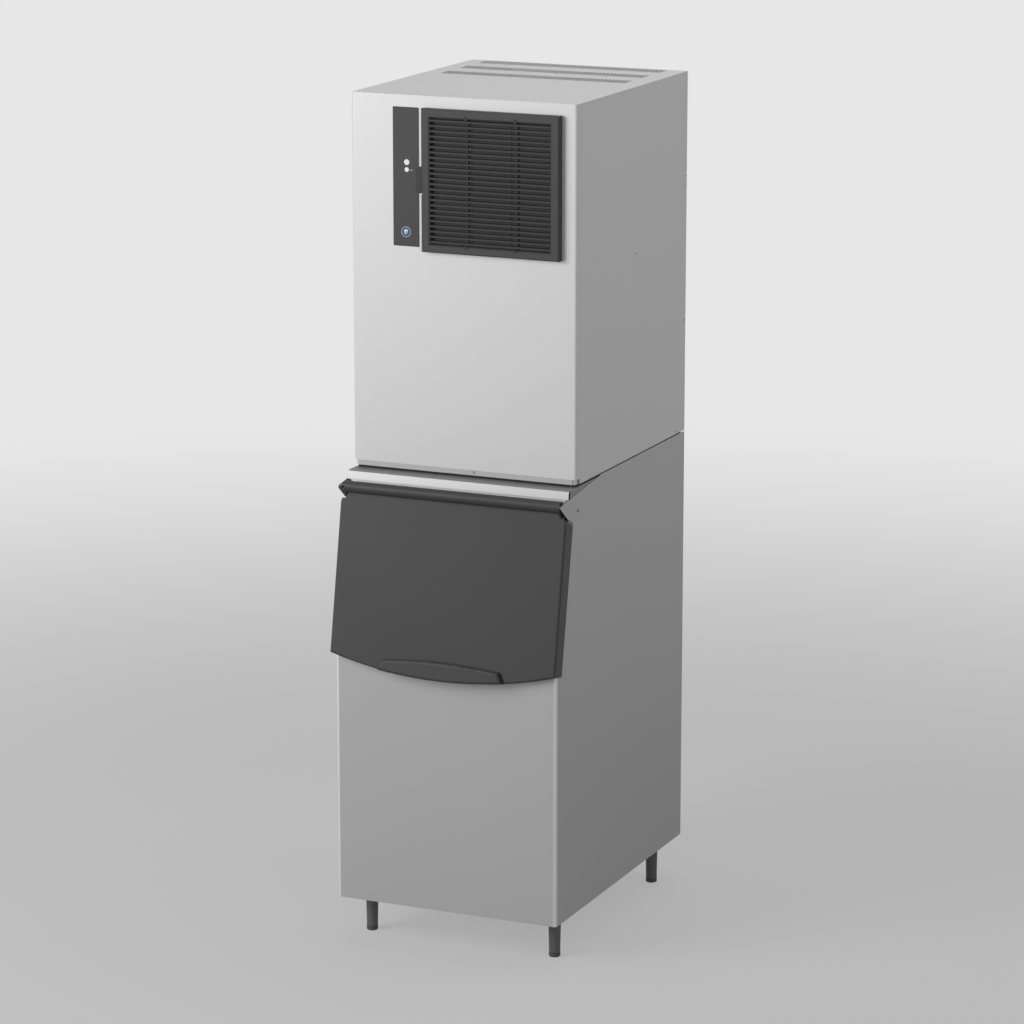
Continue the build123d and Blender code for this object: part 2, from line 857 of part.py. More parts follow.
def make_louvre_grille():
    frame = block(louvre_left, louvre_right, -louvre_out, 0, louvre_low, louvre_high)
    frame -= block(open_left, open_right, -louvre_out - 1, 1, open_low, open_high)
    frame = chamfer(front_edges(frame, -louvre_out), louvre_bevel)
    groove = block(louvre_left - 1, open_right + filter_groove, filter_front - filter_play,
                   filter_back + filter_play, open_low - filter_groove,
                   open_high + filter_groove)
    frame -= groove
    frame -= block(louvre_left - 1, louvre_left + tab_notch, -louvre_out - 1, filter_front,
                   tab_low - 2, tab_high + 2)
    for x in rib_x:
        for z in (open_low - clip_high, open_high - 1):
            frame -= block(x - clip_wide / 2, x + clip_wide / 2, -louvre_out - 1,
                           -louvre_out + clip_deep, z, z + clip_high + 1)
    pitch = (open_high - open_low) / slat_count
    slat_front = -louvre_out + 1.5
    pieces = []
    for i in range(slat_count):
        z = open_low + (i + 0.5) * pitch
        slat = across(
            [
                (slat_front, z - slat_nose / 2),
                (slat_front + slat_deep, z + slat_drop - slat_tail / 2),
                (slat_front + slat_deep, z + slat_drop + slat_tail / 2),
                (slat_front, z + slat_nose / 2),
            ],
            open_left - 1,
            open_right + 1,
        )
        pieces.append(slat)
    for x in rib_x:
        pieces.append(block(x - rib_wide / 2, x + rib_wide / 2, slat_front + slat_deep - 2,
                            slat_front + slat_deep, open_low - 1, open_high + 1))
    return frame + pieces


def make_air_filter():
    left = louvre_left + 1.0
    right = open_right + filter_groove - filter_play
    low = open_low - filter_groove + filter_play
    high = open_high + filter_groove - filter_play
    frame = block(left, right, filter_front, filter_back, low, high)
    b = filter_border
    frame -= block(left + 20, right - b, filter_front - 1, filter_back + 1, low + b, high - b)
    middle = (filter_front + filter_back) / 2
    mesh = block(left + 19, right - b + 1, middle - filter_mesh / 2,
                 middle + filter_mesh / 2, low + b - 1, high - b + 1)
    pieces = [mesh]
    span = right - left - 20 - b
    for i in (1, 2):
        x = left + 20 + span * i / 3
        pieces.append(block(x - 2, x + 2, filter_front, filter_back, low + 1, high - 1))
        z = low + (high - low) * i / 3
        pieces.append(block(left + 19, right - 1, filter_front, filter_back, z - 2, z + 2))
    tab = block(tab_left, left + tab_notch - 1.5, tab_front, filter_back, tab_low, tab_high)
    tab = fillet(tab.edges().filter_by(Axis.Y).group_by(Axis.X)[0], 5)
    return frame + pieces + tab


def make_control_strip():
    strip = block(strip_left, strip_right, -strip_out, 0, strip_low, strip_high)
    strip = fillet(strip.edges().filter_by(Axis.Y), strip_r)
    for x in (board_left + 5, board_right - 5):
        for z in (board_low + 6, board_high - 6):
            strip += rod_y(post_r, -strip_out / 2, board_y, x, z)
    for z, r in buttons.values():
        strip -= rod_y(r + button_play, -5, 5, button_x, z)
    for z in lens_z:
        strip -= rod_y(lens_r + 0.1, -5, 5, lens_x, z)
    return strip


def make_button(which):
    z, r = buttons[which]
    return rod_y(r, -strip_out - button_out, button_rear, button_x, z)


def make_operation_board():
    return block(board_left, board_right, board_y, board_y + board_thick, board_low, board_high)


def make_indicator_lenses():
    lenses = []
    for z in lens_z:
        lenses.append(rod_y(lens_r, -strip_out - 0.2, board_y, lens_x, z))
    return Part() + lenses


# Case screws
case_screw_r = 2.0
screw_head_r = 4.0
screw_head_high = 1.8
side_screws = [
    (346.0, head_z + 481.6),
    (head_depth - 52.0, head_z + 8.0),
    (head_depth - 8.0, head_z + 272.6),
    (head_depth - 8.0, head_top - 293.0),
    (head_depth - 8.0, head_top - 268.0),
    (head_depth - 8.0, head_top - 246.0),
]
front_screw = (24.0, head_z + 7.0)
lid_screw_x = 16.0
lid_screw_y = (vent_rows[0] + vent_rows[1]) / 2 + 18.0
lid_screw_r = 6.0


def lid_screw_head(play):
    """A countersunk head, flush with the lid."""
    place = Pos(lid_screw_x, lid_screw_y, panel_high + sheet / 2)
    return place * Cone(case_screw_r + play, lid_screw_r + play, sheet)


def make_head_screws():
    screws = []
    for y, z in side_screws:
        shank = rod_x(case_screw_r - screw_play, inner - 4, half, y, z)
        head = Pos(half + screw_head_high / 2, y, z) * Rot(0, 90, 0) * Cone(
            screw_head_r, screw_head_r - 1.2, screw_head_high)
        screws.append(shank + head)
        screws.append(mirrored(shank + head))
    x, z = front_screw
    shank = rod_y(case_screw_r - screw_play, base_front, base_front + 5, x, z)
    head = rod_y(3.2, base_front - 1.3, base_front, x, z)
    screws.append(shank + head)
    shank = rod_z(case_screw_r - screw_play, panel_high - 6, panel_high + sheet / 2,
                  lid_screw_x, lid_screw_y)
    screws.append(shank + lid_screw_head(0))
    return Part() + screws


# Machine compartment, above an insulated deck behind the louvre
deck_thick = 20.0
deck_high = louvre_low - 8.5
deck_low = deck_high - deck_thick
core_left = -76.0
core_right = half - 58.0
core_front = 30.0
core_back = 80.0
core_high = head_top - 36.0
fin_pitch = 14.0
fin_cut = 8.0
shroud_back = core_back + 32.0
fan_x = (core_left + core_right) / 2
fan_z = (deck_high + core_high - 1.0) / 2
orifice_r = (core_right - core_left) / 2 - 25.0
fan_r = orifice_r - 6.0
hub_r = 30.0
blade_count = 5
blade_thick = 2.0
root_wide = 30.0
root_turn = 62.0  # degrees from the fan's plane
tip_wide = 46.0
tip_turn = 40.0
shaft_r = 4.0
fan_motor_front = shroud_back + 22.0
fan_motor_long = 62.0
fan_motor_r = 41.0


def make_machine_deck():
    return block(-inner + seat, inner - seat, return_y + 4, back_inner - sheet - seat,
                 deck_low, deck_high)


def make_condenser():
    core = block(core_left, core_right, core_front, core_back, deck_high, core_high)
    count = int((core_high - deck_high - 20) / fin_pitch)
    for i in range(count):
        z = deck_high + 12 + i * fin_pitch
        core -= block(core_left + 8, core_right - 8, core_front - 1, core_front + 6, z, z + fin_cut)
    for i in range(3):
        z = deck_high + 60 + i * 90
        core += block(core_left - 12, core_left, core_front + 12, core_back - 12, z, z + 8)
    return core


def make_fan_shroud():
    box = block(core_left, core_right, core_back, shroud_back, deck_high, core_high)
    box -= block(core_left + 2, core_right - 2, core_back - 1, shroud_back - 2,
                 deck_high + 2, core_high - 2)
    return box - rod_y(orifice_r, core_back, shroud_back + 5, fan_x, fan_z)


def make_fan_blade():
    middle = shroud_back + 2
    hub = rod_y(hub_r, middle - 14, middle + 10, fan_x, fan_z)
    place = Pos(fan_x, middle, fan_z)
    root = Pos(0, 0, hub_r - 6) * Rot(0, 0, root_turn) * Rectangle(blade_thick, root_wide)
    tip = Pos(0, 0, fan_r + 2) * Rot(0, 0, tip_turn) * Rectangle(blade_thick, tip_wide)
    blade = loft([root, tip])
    blades = []
    for i in range(blade_count):
        blades.append(place * Rot(0, i * 360 / blade_count, 0) * blade)
    rotor = hub + blades
    rotor &= rod_y(fan_r, middle - 24, middle + 18, fan_x, fan_z)
    return rotor - rod_y(shaft_r, middle - 30, middle + 30, fan_x, fan_z)


def make_fan_shaft():
    return rod_y(shaft_r, shroud_back - 10, fan_motor_front + 30, fan_x, fan_z)


def make_fan_motor():
    rear = fan_motor_front + fan_motor_long
    motor = rod_y(fan_motor_r, fan_motor_front, rear, fan_x, fan_z)
    motor = chamfer(motor.edges(), 5)
    for turn in (45, 135, 225, 315):
        arm = Pos(0, 0, 92) * Box(8, 3, 120)
        place = Pos(fan_x, fan_motor_front + 4, fan_z) * Rot(0, turn, 0)
        motor += place * arm
        foot = Pos(0, -(fan_motor_front + 5.5 - shroud_back) / 2 + 1.5, 148) * Box(
            8, fan_motor_front + 5.5 - shroud_back, 8)
        motor += place * foot
    return motor - rod_y(shaft_r + pin_running, fan_motor_front - 1, fan_motor_front + 34,
                         fan_x, fan_z)


comp_x = half - 160.0
comp_y = head_depth - 226.0
comp_r = 78.0
comp_high = 200.0
comp_stub = 14.0
comp_pipe_x = comp_x - 50
mount_high = 16.0
mount_r = 12.0
mount_span = 78.0


def make_compressor():
    base = deck_high + mount_high
    shell = rod_z(comp_r, base + 4, base + comp_high, comp_x, comp_y)
    shell = chamfer(shell.edges(), 22, 34)
    seam_ring = rod_z(comp_r + 5, base + comp_high / 2 - 4, base + comp_high / 2 + 4,
                      comp_x, comp_y)
    feet = block(comp_x - 95, comp_x + 95, comp_y - 95, comp_y + 95, base, base + 5)
    feet = fillet(feet.edges().filter_by(Axis.Z), 20)
    stub = rod_z(6, base + comp_high / 2, base + comp_high + comp_stub, comp_pipe_x, comp_y)
    return shell + seam_ring + feet + stub


def make_compressor_mounts():
    mounts = []
    for dx in (-mount_span, mount_span):
        for dy in (-mount_span, mount_span):
            mounts.append(rod_z(mount_r, deck_high, deck_high + mount_high,
                                comp_x + dx, comp_y + dy))
    return Part() + mounts


box_left = -inner + 6
box_right = -98.0
box_front = 40.0
box_back = 190.0
box_high = head_top - 38.0
drier_x = -60.0
drier_y = 330.0
drier_r = 13.0


def make_control_box():
    body = block(box_left, box_right, box_front, box_back, deck_high, box_high)
    lid = block(box_left - 2, box_right + 2, box_front - 3, box_front, deck_high + 4, box_high + 2)
    return body + lid


pipe_r = 4.0
pipe_bend = 10.0
pipe_run_z = core_high + 14.0
drier_low = 20.0
drier_high = 120.0


def tube_along(points, bend):
    path = FilletPolyline(*points, radius=bend)
    return sweep(Plane(origin=path @ 0, z_dir=path % 0) * Circle(pipe_r), path=path)


def make_refrigerant_lines():
    """Hot gas line over the fan to the condenser, and the drier with its line."""
    top = deck_high + mount_high + comp_high + comp_stub
    core_y = (core_front + core_back) / 2
    hot = tube_along(
        [
            (comp_pipe_x, comp_y, top),
            (comp_pipe_x, comp_y, pipe_run_z),
            (comp_pipe_x, core_y, pipe_run_z),
            (comp_pipe_x, core_y, core_high),
        ],
        pipe_bend,
    )
    body = rod_z(drier_r, deck_high + drier_low, deck_high + drier_high, drier_x, drier_y)
    body = chamfer(body.edges(), 8)
    body += rod_z(pipe_r, deck_high, deck_high + drier_low + 2, drier_x, drier_y)
    start = deck_high + drier_high - 2
    liquid = tube_along(
        [
            (drier_x, drier_y, start),
            (drier_x, drier_y, start + 60),
            (drier_x, drier_y + 90, start + 60),
            (drier_x, drier_y + 90, deck_high),
        ],
        pipe_bend,
    )
    return Part() + [hot, body + liquid]


# Ice-making compartment below the deck
cell = 28.0
cell_wall = 3.0
cell_high = 32.0
plate_thick = 6.0
evap_z = head_z + 300.0
hanger_r = 6.0
hanger_y = 75.0
tray_z = evap_z - 6.0
tray_deep = 78.0
tray_half = half - 112.0
tray_long = 274.0
tray_back = head_depth - 130.0
tray_front = tray_back - tray_long
tray_wall = 3.0
tray_slot = 6.0
tray_slot_pitch = 40.5
tray_slot_count = int(2 * tray_half / tray_slot_pitch)
tray_axis_y = tray_back + 16.0
evap_y = tray_back - tray_long / 2 + 1.0
hanger_x = tray_half - 28.0
cell_column_count = int((2 * tray_half - 20.0) / (cell + cell_wall))
cell_row_count = int((tray_long - 20.0) / (cell + cell_wall))
tray_axis_z = tray_z - 6.0
tray_shaft_r = 6.0
bearing_x = tray_half + 20.0
bearing_thick = 8.0
tray_tilt = 30.0


def make_evaporator():
    pitch = cell + cell_wall
    wide = cell_column_count * pitch + cell_wall
    deep = cell_row_count * pitch + cell_wall
    x0 = -wide / 2
    y0 = evap_y - deep / 2
    body = block(x0, x0 + wide, y0, y0 + deep, evap_z, evap_z + cell_high + plate_thick)
    cups = []
    for i in range(cell_column_count):
        for j in range(cell_row_count):
            x = x0 + cell_wall + i * pitch
            y = y0 + cell_wall + j * pitch
            cups.append(block(x, x + cell, y, y + cell, evap_z - 1, evap_z + cell_high))
    body = body - cups
    top = evap_z + cell_high + plate_thick
    tubes = []
    for i in range(5):
        y = y0 + deep * (i + 0.5) / 5
        tubes.append(rod_x(6, x0, x0 + wide, y, top + 4))
    for x in (-hanger_x, hanger_x):
        for y in (evap_y - hanger_y, evap_y + hanger_y):
            tubes.append(rod_z(hanger_r, top - 1, deck_low, x, y))
    return body + tubes


def make_water_tray():
    tank = block(-tray_half, tray_half, tray_front, tray_back, tray_z - tray_deep, tray_z)
    tank = fillet(upright_edges(tank, tray_half, tray_front), 12)
    w = tray_wall
    tank -= block(-tray_half + w, tray_half - w, tray_front + w, tray_back - w,
                  tray_z - tray_deep + w, tray_z - 8)
    for i in range(tray_slot_count):
        x = -tray_half + 26 + i * tray_slot_pitch
        tank -= block(x, x + tray_slot, tray_front + 24, tray_back - 24, tray_z - 20,
                      tray_z + 1)
    for side in (-1, 1):
        x0 = side * (tray_half - 8)
        x1 = side * tray_half
        lug = block(min(x0, x1), max(x0, x1), tray_back - 2, tray_axis_y + 12,
                    tray_axis_z - 12, tray_axis_z + 12)
        tank += lug
    return tank - rod_x(tray_shaft_r, -half, half, tray_axis_y, tray_axis_z)


def make_tray_shaft():
    return rod_x(tray_shaft_r, -bearing_x - bearing_thick, gear_x + 20, tray_axis_y, tray_axis_z)


gear_x = bearing_x + bearing_thick


def make_tray_bearings():
    plates = []
    for side in (-1, 1):
        x0 = side * bearing_x
        x1 = side * (bearing_x + bearing_thick)
        plate = block(min(x0, x1), max(x0, x1), tray_axis_y - 18, tray_axis_y + 18,
                      tray_axis_z - 18, deck_low)
        plates.append(plate - rod_x(tray_shaft_r + pin_running, -half, half, tray_axis_y,
                                    tray_axis_z))
    return Part() + plates


def make_tray_motor():
    gearbox = block(gear_x, gear_x + 34, tray_axis_y - 30, tray_axis_y + 30,
                    tray_axis_z - 24, tray_axis_z + 60)
    can = rod_x(22, gear_x + 34, gear_x + 66, tray_axis_y, tray_axis_z + 32)
    return gearbox + can - rod_x(tray_shaft_r + pin_running, gear_x - 1, gear_x + 24,
                                 tray_axis_y, tray_axis_z)


def make_water_pump():
    x = tray_half + 30
    y = tray_front + 70
    z = tray_z - tray_deep
    volute = rod_z(28, z + 4, z + 30, x, y)
    motor = rod_z(24, z + 30, z + 96, x, y)
    arm = block(tray_half, x, y - 10, y + 10, z + 8, z + 26)
    return volute + motor + arm


drain_pan_half = half - 35.0
drain_pan_front = drop_back + 17.0
drain_pan_back = head_depth - 26.0
pan_wall = 2.5
pan_floor = head_z + 2 * sheet + seat


def make_drain_pan():
    pan = block(-drain_pan_half, drain_pan_half, drain_pan_front, drain_pan_back,
                pan_floor, pan_floor + 52)
    pan -= block(-drain_pan_half + pan_wall, drain_pan_half - pan_wall,
                 drain_pan_front + pan_wall, drain_pan_back - pan_wall,
                 pan_floor + pan_wall, pan_floor + 60)
    return pan - rod_y(outlet_bore, drain_pan_back - 10, drain_pan_back + 10, outlet_x, outlet_z)


def make_head_drain():
    flange_end = back_inner + spigot_flange
    end = flange_end + outlet_long
    tube = rod_y(outlet_r, drain_pan_back, end, outlet_x, outlet_z)
    tube += rod_y(outlet_r + spigot_margin, back_inner, flange_end, outlet_x, outlet_z)
    return tube - rod_y(outlet_bore, drain_pan_back - 1, end + 1, outlet_x, outlet_z)


def make_water_inlet():
    """Inlet valve: a threaded spigot outside, body and coil inside the rear panel."""
    flange_end = back_inner + spigot_flange
    spigot = rod_y(inlet_r, flange_end, flange_end + inlet_long, inlet_x, inlet_z)
    spigot += rod_y(inlet_r + spigot_margin, back_inner, flange_end, inlet_x, inlet_z)
    spigot += rod_y(inlet_neck_r, back_inner - sheet - 4, back_inner, inlet_x, inlet_z)
    body = block(inlet_x - 18, inlet_x + 18, back_inner - 60, back_inner - sheet,
                 inlet_z - 18, inlet_z + 18)
    coil = rod_z(16, inlet_z + 18, inlet_z + 54, inlet_x, back_inner - 36)
    bore = rod_y(8, back_inner - 30, head_depth + 60, inlet_x, inlet_z)
    return body + spigot + coil - bore


sensor_x = drop_half - 14.0
sensor_y = drop_front + 20.0
sensor_r = 4.0
sensor_long = 150.0


def make_ice_sensor():
    """Ice level tube that hangs into the bin from the collar of the head's opening."""
    low = head_z - sensor_long
    tube = rod_z(sensor_r, low, head_z + 20, sensor_x, sensor_y)
    clip = block(sensor_x - 3, drop_half, sensor_y - 6, sensor_y + 6, head_z + 8, head_z + 16)
    return tube + clip


def make_nodes():
    nodes = {
        "bin_wrapper": make_bin_wrapper(),
        "bin_back_panel": make_bin_back(),
        "bin_base": make_bin_base(),
        "bin_insulation": make_bin_insulation(),
        "bin_liner": make_bin_liner(),
        "bin_drain": make_bin_drain(),
        "top_deck": make_top_deck(),
        "front_trim": make_front_trim(),
        "hinge_bracket_left": make_hinge_bracket(-1),
        "hinge_bracket_right": make_hinge_bracket(1),
        "hinge_pins": make_hinge_pins(),
        "bin_screws": make_bin_screws(),
        "door_shell": make_door_shell(),
        "door_panel": make_door_panel(),
        "door_seal": make_door_seal(),
        "leg_plates": make_leg_plates(),
        "head_base": make_head_base(),
        "head_tape": make_head_tape(),
        "front_panel": make_front_panel(),
        "top_panel": make_top_panel(),
        "side_panel_left": make_side_panel(-1),
        "side_panel_right": make_side_panel(1),
        "rear_panel": make_rear_panel(),
        "louvre_grille": make_louvre_grille(),
        "air_filter": make_air_filter(),
        "control_strip": make_control_strip(),
        "button_upper": make_button("upper"),
        "button_lower": make_button("lower"),
        "operation_board": make_operation_board(),
        "indicator_lenses": make_indicator_lenses(),
        "head_screws": make_head_screws(),
        "cable_gland": make_cable_gland(),
        "machine_deck": make_machine_deck(),
        "condenser": make_condenser(),
        "fan_shroud": make_fan_shroud(),
        "fan_blade": make_fan_blade(),
        "fan_shaft": make_fan_shaft(),
        "fan_motor": make_fan_motor(),
        "compressor": make_compressor(),
        "compressor_mounts": make_compressor_mounts(),
        "control_box": make_control_box(),
        "refrigerant_lines": make_refrigerant_lines(),
        "evaporator": make_evaporator(),
        "water_tray": make_water_tray(),
        "tray_shaft": make_tray_shaft(),
        "tray_bearings": make_tray_bearings(),
        "tray_motor": make_tray_motor(),
        "water_pump": make_water_pump(),
        "drain_pan": make_drain_pan(),
        "head_drain": make_head_drain(),
        "water_inlet": make_water_inlet(),
        "ice_sensor": make_ice_sensor(),
    }
    for name, (x, y) in leg_places.items():
        nodes["leg_" + name] = make_leg(x, y)
        nodes["foot_" + name] = make_foot(x, y)
    return nodes


def write_parts():
    """Centres the machine over the floor and writes one file for each piece."""
    os.makedirs("parts", exist_ok=True)
    nodes = make_nodes()
    boxes = [shape.bounding_box() for shape in nodes.values()]
    front = min(box.min.Y for box in boxes)
    rear = max(box.max.Y for box in boxes)
    middle = (front + rear) / 2
    for name, shape in nodes.items():
        export_step(Pos(0, -middle, 0) * shape, "parts/" + name + ".step")
    print("moved back by", round(-middle, 3))


write_parts()
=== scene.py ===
import bpy
import bmesh
import json
import math
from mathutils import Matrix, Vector


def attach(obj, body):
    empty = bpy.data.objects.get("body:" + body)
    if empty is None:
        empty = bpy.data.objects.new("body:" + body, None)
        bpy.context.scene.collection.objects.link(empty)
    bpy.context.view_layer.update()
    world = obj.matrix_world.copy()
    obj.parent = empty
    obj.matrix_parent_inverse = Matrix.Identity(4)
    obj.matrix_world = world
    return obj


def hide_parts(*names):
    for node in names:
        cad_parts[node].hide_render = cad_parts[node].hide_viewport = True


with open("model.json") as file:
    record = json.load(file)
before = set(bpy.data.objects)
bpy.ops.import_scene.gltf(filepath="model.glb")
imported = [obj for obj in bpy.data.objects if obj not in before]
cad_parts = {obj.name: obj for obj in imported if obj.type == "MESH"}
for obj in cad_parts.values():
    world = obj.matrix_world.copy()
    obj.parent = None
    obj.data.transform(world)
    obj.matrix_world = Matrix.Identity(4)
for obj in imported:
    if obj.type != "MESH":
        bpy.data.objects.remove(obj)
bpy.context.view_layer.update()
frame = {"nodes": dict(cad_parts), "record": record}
nodes = frame["nodes"]
slotOfNode = {part["node"]: part["material_slot"] for part in frame["record"]["subparts"]}
print("frame loaded:", len(nodes), "nodes")

# Places are millimetres from the middle of the head's front face, up from the floor
headFrontY = -0.272069
headLow = 1126.0
headTop = 1994.0


def place(x, y, z):
    return Vector((x * 0.001, y * 0.001 + headFrontY, z * 0.001))


def grey(value):
    return (value, value, value, 1.0)


# Shader groups: each effect is built once and placed in the finishes that use it

def newShaderGroup(name, inputs, outputs):
    group = bpy.data.node_groups.new(name, "ShaderNodeTree")
    for label, kind, value in inputs:
        socket = group.interface.new_socket(label, in_out="INPUT", socket_type=kind)
        socket.default_value = value
    for label, kind in outputs:
        group.interface.new_socket(label, in_out="OUTPUT", socket_type=kind)
    start = group.nodes.new("NodeGroupInput")
    end = group.nodes.new("NodeGroupOutput")
    return group, start, end


def addMath(tree, operation, first, second):
    node = tree.nodes.new("ShaderNodeMath")
    node.operation = operation
    for socket, value in zip(node.inputs, (first, second)):
        if isinstance(value, (int, float)):
            socket.default_value = value
        else:
            tree.links.new(value, socket)
    return node.outputs[0]


def addMix(tree, factor, first, second):
    node = tree.nodes.new("ShaderNodeMix")
    node.data_type = "RGBA"
    tree.links.new(factor, node.inputs["Factor"])
    for label, value in (("A", first), ("B", second)):
        if hasattr(value, "is_output"):
            tree.links.new(value, node.inputs[label])
        else:
            node.inputs[label].default_value = value
    return node.outputs["Result"]


def addNoise(tree, vector, scale, detail, roughness=0.5):
    node = tree.nodes.new("ShaderNodeTexNoise")
    node.inputs["Detail"].default_value = detail
    node.inputs["Roughness"].default_value = roughness
    tree.links.new(vector, node.inputs["Vector"])
    if isinstance(scale, (int, float)):
        node.inputs["Scale"].default_value = scale
    else:
        tree.links.new(scale, node.inputs["Scale"])
    return node.outputs[0]


def buildToneVariation():
    # slow clouds that lift and lower a colour and its roughness a little
    group, start, end = newShaderGroup(
        "toneVariation",
        [("Vector", "NodeSocketVector", (0, 0, 0)), ("Color", "NodeSocketColor", grey(0.5)),
         ("Roughness", "NodeSocketFloat", 0.5), ("Scale", "NodeSocketFloat", 5.0),
         ("Color Spread", "NodeSocketFloat", 0.05), ("Rough Spread", "NodeSocketFloat", 0.1)],
        [("Color", "NodeSocketColor"), ("Roughness", "NodeSocketFloat")],
    )
    cloud = addNoise(group, start.outputs["Vector"], start.outputs["Scale"], 3.0)
    centred = addMath(group, "SUBTRACT", cloud, 0.5)
    lift = addMath(group, "MULTIPLY", centred, start.outputs["Color Spread"])
    gain = addMath(group, "ADD", addMath(group, "MULTIPLY", lift, 2.0), 1.0)
    scaled = group.nodes.new("ShaderNodeVectorMath")
    scaled.operation = "SCALE"
    group.links.new(start.outputs["Color"], scaled.inputs[0])
    group.links.new(gain, scaled.inputs["Scale"])
    group.links.new(scaled.outputs[0], end.inputs["Color"])
    rough = addMath(group, "MULTIPLY", centred, start.outputs["Rough Spread"])
    group.links.new(addMath(group, "ADD", start.outputs["Roughness"], rough), end.inputs["Roughness"])
    return group


def buildBrushedGrain():
    # long fine scratches: the vector comes in already stretched along the brushing
    group, start, end = newShaderGroup(
        "brushedGrain",
        [("Vector", "NodeSocketVector", (0, 0, 0)), ("Scale", "NodeSocketFloat", 1.0)],
        [("Height", "NodeSocketFloat")],
    )
    fine = addNoise(group, start.outputs["Vector"], start.outputs["Scale"], 2.0, 0.6)
    double = addMath(group, "MULTIPLY", start.outputs["Scale"], 0.27)
    broad = addNoise(group, start.outputs["Vector"], double, 1.0)
    group.links.new(addMath(group, "ADD", addMath(group, "MULTIPLY", fine, 0.7),
                            addMath(group, "MULTIPLY", broad, 0.3)), end.inputs["Height"])
    return group


def buildMouldedGrain():
    # the spark-eroded texture of a moulded plastic face
    group, start, end = newShaderGroup(
        "mouldedGrain",
        [("Vector", "NodeSocketVector", (0, 0, 0)), ("Scale", "NodeSocketFloat", 900.0)],
        [("Height", "NodeSocketFloat")],
    )
    cells = group.nodes.new("ShaderNodeTexVoronoi")
    cells.feature = "SMOOTH_F1"
    group.links.new(start.outputs["Vector"], cells.inputs["Vector"])
    group.links.new(start.outputs["Scale"], cells.inputs["Scale"])
    fine = addNoise(group, start.outputs["Vector"], start.outputs["Scale"], 2.0)
    group.links.new(addMath(group, "ADD", addMath(group, "MULTIPLY", cells.outputs["Distance"], 0.6),
                            addMath(group, "MULTIPLY", fine, 0.4)), end.inputs["Height"])
    return group


def buildSettledDust():
    # a thin film on faces that look up, broken by clouds
    group, start, end = newShaderGroup(
        "settledDust",
        [("Vector", "NodeSocketVector", (0, 0, 0)), ("Amount", "NodeSocketFloat", 0.2)],
        [("Mask", "NodeSocketFloat")],
    )
    geometry = group.nodes.new("ShaderNodeNewGeometry")
    parts = group.nodes.new("ShaderNodeSeparateXYZ")
    group.links.new(geometry.outputs["Normal"], parts.inputs[0])
    upward = addMath(group, "POWER", addMath(group, "MAXIMUM", parts.outputs["Z"], 0.0), 3.0)
    cloud = addNoise(group, start.outputs["Vector"], 14.0, 4.0)
    film = addMath(group, "MULTIPLY", upward, cloud)
    group.links.new(addMath(group, "MULTIPLY", film, start.outputs["Amount"]), end.inputs["Mask"])
    return group


def buildWireWeave():
    # square mesh for the air filter: fine strands, with painted shade in the holes between them
    group, start, end = newShaderGroup(
        "wireWeave",
        [("Vector", "NodeSocketVector", (0, 0, 0)), ("Pitch", "NodeSocketFloat", 0.002)],
        [("Strand", "NodeSocketFloat")],
    )
    parts = group.nodes.new("ShaderNodeSeparateXYZ")
    group.links.new(start.outputs["Vector"], parts.inputs[0])
    waves = []
    for axis in ("X", "Z"):
        turns = addMath(group, "DIVIDE", parts.outputs[axis], start.outputs["Pitch"])
        wave = addMath(group, "SINE", addMath(group, "MULTIPLY", turns, 2 * math.pi), 0)
        waves.append(addMath(group, "ABSOLUTE", wave, 0))
    group.links.new(addMath(group, "MAXIMUM", waves[0], waves[1]), end.inputs["Strand"])
    return group


def buildPaintedFoldHighlight():
    # painted highlight: upright rounded folds are painted brighter than the flat sheet on each side
    # of them
    group, start, end = newShaderGroup(
        "paintedFoldHighlight",
        [("Normal", "NodeSocketVector", (0, 0, 1)), ("Amount", "NodeSocketFloat", 0.5)],
        [("Mask", "NodeSocketFloat")],
    )
    parts = group.nodes.new("ShaderNodeSeparateXYZ")
    group.links.new(start.outputs["Normal"], parts.inputs[0])
    both = addMath(group, "MULTIPLY", parts.outputs["X"], parts.outputs["Y"])
    foldHighlight = addMath(group, "MULTIPLY", addMath(group, "ABSOLUTE", both, 0), 2.0)
    group.links.new(addMath(group, "MULTIPLY", foldHighlight, start.outputs["Amount"]), end.inputs["Mask"])
    return group


def buildDeepShade():
    # painted shade: darkens a colour inside an upright window, where the slats sit deep in shade
    # inside the frame
    group, start, end = newShaderGroup(
        "deepShade",
        [("Vector", "NodeSocketVector", (0, 0, 0)), ("Low", "NodeSocketVector", (0, 0, 0)),
         ("High", "NodeSocketVector", (1, 1, 1))],
        [("Mask", "NodeSocketFloat")],
    )
    where = group.nodes.new("ShaderNodeSeparateXYZ")
    group.links.new(start.outputs["Vector"], where.inputs[0])
    inside = 1.0
    for label, operation in (("Low", "GREATER_THAN"), ("High", "LESS_THAN")):
        corner = group.nodes.new("ShaderNodeSeparateXYZ")
        group.links.new(start.outputs[label], corner.inputs[0])
        for axis in ("X", "Z"):
            past = addMath(group, operation, where.outputs[axis], corner.outputs[axis])
            inside = addMath(group, "MULTIPLY", past, inside)
    group.links.new(inside, end.inputs["Mask"])
    return group


groups = {
    "tone": buildToneVariation(),
    "deep": buildDeepShade(),
    "foldHighlight": buildPaintedFoldHighlight(),
    "brushed": buildBrushedGrain(),
    "moulded": buildMouldedGrain(),
    "dust": buildSettledDust(),
    "weave": buildWireWeave(),
}
print("shader groups built:", len(groups))


def addGroup(tree, name, values):
    node = tree.nodes.new("ShaderNodeGroup")
    node.node_tree = groups[name]
    for label, value in values.items():
        if hasattr(value, "is_output"):
            tree.links.new(value, node.inputs[label])
        else:
            node.inputs[label].default_value = value
    return node


